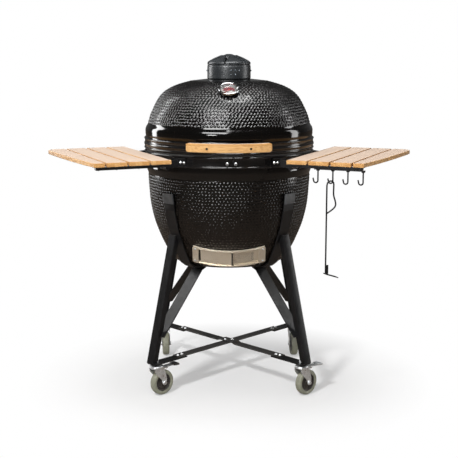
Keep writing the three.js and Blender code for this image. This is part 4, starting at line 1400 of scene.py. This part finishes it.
for leg_name in LEGS:
    dress(leg_name + "_leg", BLACK, 0.8)
dress("cross_bar_lower", BAR, 0.8)
dress("cross_bar_upper", BAR, 0.8)
strap_pads()
cross_bar_bolts()
stem_nuts()

# ---------------------------------------------------------------- casters

FORK_HALF = 15.5
FORK_SHEET = 2.4


def caster_frame(word):
    """The caster's own frame, with its stem on z and its wheel trailing towards +x, and the wheel's trail
    and axle height."""
    stem = anchor(word + "_swivel")
    axle = anchor(word + "_roll")
    heading = math.atan2(axle.y - stem.y, axle.x - stem.x)
    place = shift(stem.x, stem.y, 0) @ Matrix.Rotation(heading, 4, "Z")
    return place, math.hypot(axle.x - stem.x, axle.y - stem.y), axle.z


def wheel(word):
    """A tyre on a moulded hub with five ribs on each side. The wheel's radius is its axle's height."""
    place, trail, r = caster_frame(word)
    at = place @ shift(trail, 0, r) @ turn(-90, "X")
    body = word + "_wheel"
    tread = [(31.6, 11), (36, 12.4), (r - 7, 13), (r - 2.2, 11.5), (r - 0.3, 7.5)]
    tyre = lathe(mirrored(tread, [(r, 0)]), 96, 1.6)
    piece(word + "_tyre_rubber", tyre.moved(at), TYRE, body, [word + "_tyre"])
    half = [(4.6, 13.6), (11, 13.6), (12.5, 12.4), (13, 8), (27, 6.2), (29, 9.8), (31.4, 9.8)]
    hub = lathe(mirrored(half), 72, 0.7)
    piece(word + "_hub_moulded", hub.moved(at), HUB, body, [word + "_hub"])
    pair = block(12, 28, -1.5, 1.5, -9.2, -6.5) + block(12, 28, -1.5, 1.5, 6.5, 9.2)
    ribs = joined(pair.moved(at @ turn(72 * i, "Z")) for i in range(5))
    flat_piece(word + "_hub_ribs", ribs, HUB, body, 0.5)


def fork(word):
    """A stamped fork under its bearing, with the wheel's axle and nuts."""
    place, trail, axle_z = caster_frame(word)
    body = word + "_caster"
    crown_z = 104
    cheek = softened([
        (-19, crown_z), (22, crown_z), (trail + 10, axle_z + 16), (trail + 8.5, axle_z - 5),
        (trail, axle_z - 10), (trail - 8.5, axle_z - 5), (trail - 11, axle_z + 10), (-19, 90),
    ], 5, 4)
    crown = [(-24, -14), (-14, -20), (14, -20), (24, -14), (26, 14), (14, 20), (-14, 20), (-24, 14)]
    sheets = [side_plate(cheek, y - FORK_SHEET / 2, y + FORK_SHEET / 2) for y in (-FORK_HALF, FORK_HALF)]
    sheets.append(prism(softened(crown, 5), crown_z - 1.5, crown_z + 1.5))
    stamped = joined(sheets).moved(place)
    flat_piece(word + "_fork_stamped", stamped, ZINC, body, 0.7, [word + "_fork"])

    race = lathe([
        (0, crown_z), (22, crown_z), (24, 106.5), (23, 109.5), (17, 111.5), (12, 114), (6, 114.5), (6, 128),
        (0, 128),
    ], 48, 0.8)
    at_axle = shift(trail, 0, axle_z)
    axle = lathe([(0, -20), (4, -20), (4, 20), (0, 20)], 24, 0.4).moved(at_axle @ turn(90, "X"))
    piece(word + "_race", (race + axle).moved(place), ZINC, body)
    nut = hex_nut(7, 4.5).moved(shift(0, 0, FORK_HALF + FORK_SHEET / 2))
    nuts = joined(nut.moved(at_axle @ turn(angle, "X")) for angle in (-90, 90))
    flat_piece(word + "_axle_nuts", nuts.moved(place), ZINC, body, 0.5)


def brake(word, pedal_material):
    """A pressed lever with a shoe over the tyre and a broad pedal that flares at its end."""
    place, _, _ = caster_frame(word)
    body = word + "_brake"
    z = 99.5
    lever = block(20, 76, -11, 11, z - 1.5, z + 1.5) + block(37, 46, -9, 9, 92.5, z)
    flat_piece(word + "_brake_lever", lever.moved(place), ZINC, body, 0.7, [body])
    outline = [(70, -12), (80, -17), (92, -17), (94, -13), (94, 13), (92, 17), (80, 17), (70, 12)]
    treads = [block(75 + 5 * i, 77 + 5 * i, -12, 12, z + 2.9, z + 4) for i in range(4)]
    pedal = joined([prism(outline, z - 2.4, z + 3), *treads])
    flat_piece(word + "_brake_pedal", pedal.moved(place), pedal_material, body, 0.7)


for leg_name in LEGS:
    wheel(leg_name)
    fork(leg_name)
brake("front_left", HUB)
brake("front_right", ZINC)

# ---------------------------------------------------------------- stage, light and camera


def floor_material():
    """A white floor that fades into the white background, and mirrors in the glaze as a dim, warm grey."""
    made = Finish("studio_floor", Roughness=0.8)
    path = made.node("ShaderNodeLightPath")
    made.set("Base Color", made.mix(path.outputs["Is Glossy Ray"], (0.8, 0.8, 0.8), (0.22, 0.175, 0.14)))
    made.set("Specular IOR Level", 0.1)
    distance = made.node("ShaderNodeVectorMath", operation="LENGTH")
    made.feed(distance.inputs[0], made.place)
    far = made.between(distance.outputs["Value"], 0.42, 0.75, 0.3, 1.0)
    white = made.node("ShaderNodeEmission")
    made.show(made.math("MULTIPLY", far, path.outputs["Is Camera Ray"]), made.shader, white)
    return made.material


def studio():
    half = 60.0
    corners = [(-half, -half, 0), (half, -half, 0), (half, half, 0), (-half, half, 0)]
    mesh = bpy.data.meshes.new("studio_floor")
    mesh.from_pydata(corners, [], [(0, 1, 2, 3)])
    mesh.materials.append(floor_material())
    floor = bpy.data.objects.new("studio_floor", mesh)
    bpy.context.scene.collection.objects.link(floor)


def softbox(name, az, distance, height, width, tall, radiance, lights="both", aim_z=0.85):
    """A rectangular lamp aimed at the egg. It lights surfaces, shows in reflections, or does both."""
    data = bpy.data.lights.new(name, "AREA")
    data.shape = "RECTANGLE"
    data.size = width
    data.size_y = tall
    data.energy = radiance * math.pi * width * tall
    lamp = bpy.data.objects.new(name, data)
    x, y = around(az, distance)
    lamp.location = (x, y + AXIS_Y, height)
    aim = Vector((0, AXIS_Y, aim_z)) - lamp.location
    lamp.rotation_euler = aim.to_track_quat("-Z", "Y").to_euler()
    lamp.visible_camera = False
    lamp.visible_diffuse = lights != "reflections"
    lamp.visible_glossy = lights != "surfaces"
    bpy.context.scene.collection.objects.link(lamp)


def world():
    """White to the eye, a dim fill on surfaces, and dimmer still in reflections, most of all in front."""
    made = bpy.data.worlds.new("studio")
    made.use_nodes = True
    bpy.context.scene.world = made
    nodes, links = made.node_tree.nodes, made.node_tree.links

    def background(grey):
        shade = nodes.new("ShaderNodeBackground")
        shade.inputs["Color"].default_value = (grey, grey, grey, 1)
        return shade

    def choose(share, first, second):
        blend = nodes.new("ShaderNodeMixShader")
        for socket, source in zip(blend.inputs, (share, first.outputs[0], second.outputs[0])):
            links.new(source, socket)
        return blend

    coords = nodes.new("ShaderNodeTexCoord")
    split = nodes.new("ShaderNodeSeparateXYZ")
    links.new(coords.outputs["Generated"], split.inputs[0])
    ramp = nodes.new("ShaderNodeMapRange")
    for name, value in zip(("From Min", "From Max", "To Min", "To Max"), (0.3, 0.9, 0.0, 1.0)):
        ramp.inputs[name].default_value = value
    links.new(split.outputs["Y"], ramp.inputs["Value"])
    colours = nodes.new("ShaderNodeMix")
    colours.data_type = "RGBA"
    colours.inputs[6].default_value = (0.05, 0.045, 0.04, 1)
    colours.inputs[7].default_value = (0.13, 0.13, 0.13, 1)
    links.new(ramp.outputs["Result"], colours.inputs["Factor"])
    mirrored_light = background(0)
    links.new(colours.outputs[2], mirrored_light.inputs["Color"])

    path = nodes.new("ShaderNodeLightPath")
    dim = choose(path.outputs["Is Glossy Ray"], background(0.42), mirrored_light)
    shown = choose(path.outputs["Is Camera Ray"], dim, background(1))
    links.new(shown.outputs[0], nodes["World Output"].inputs["Surface"])


def camera():
    """The photograph's view: a long lens a little above the grill's middle."""
    distance, height, pitch = 3.658, 1.213, 10.23
    data = bpy.data.cameras.new("camera")
    data.sensor_width = 36.0
    data.lens = 78.996
    made = bpy.data.objects.new("camera", data)
    made.location = (0, AXIS_Y - distance, height)
    made.rotation_euler = (math.radians(90 - pitch), 0, 0)
    bpy.context.scene.collection.objects.link(made)
    bpy.context.scene.camera = made


studio()
softbox("key_lamp", -27, 3.0, 3.1, 0.4, 0.4, 250, "surfaces")
softbox("top_fill", 180, 0.3, 3.3, 2.2, 2.2, 2.6, "surfaces", 1.0)
softbox("front_fill", 10, 3.5, 1.5, 2.0, 1.6, 1.6, "surfaces")
softbox("key_softbox", -20, 3.0, 3.1, 2.0, 1.6, 17, "reflections")
softbox("low_softbox", -22, 3.2, 1.6, 0.6, 0.5, 34, "reflections")
softbox("left_softbox", -116, 2.2, 1.5, 0.5, 2.4, 10.5, "reflections")
softbox("right_softbox", 95, 2.2, 1.25, 0.5, 1.9, 7, "reflections")
softbox("top_softbox", 25, 0.8, 3.4, 1.5, 1.3, 22, "reflections", 1.0)
world()
camera()
bpy.context.scene.view_settings.view_transform = "Standard"
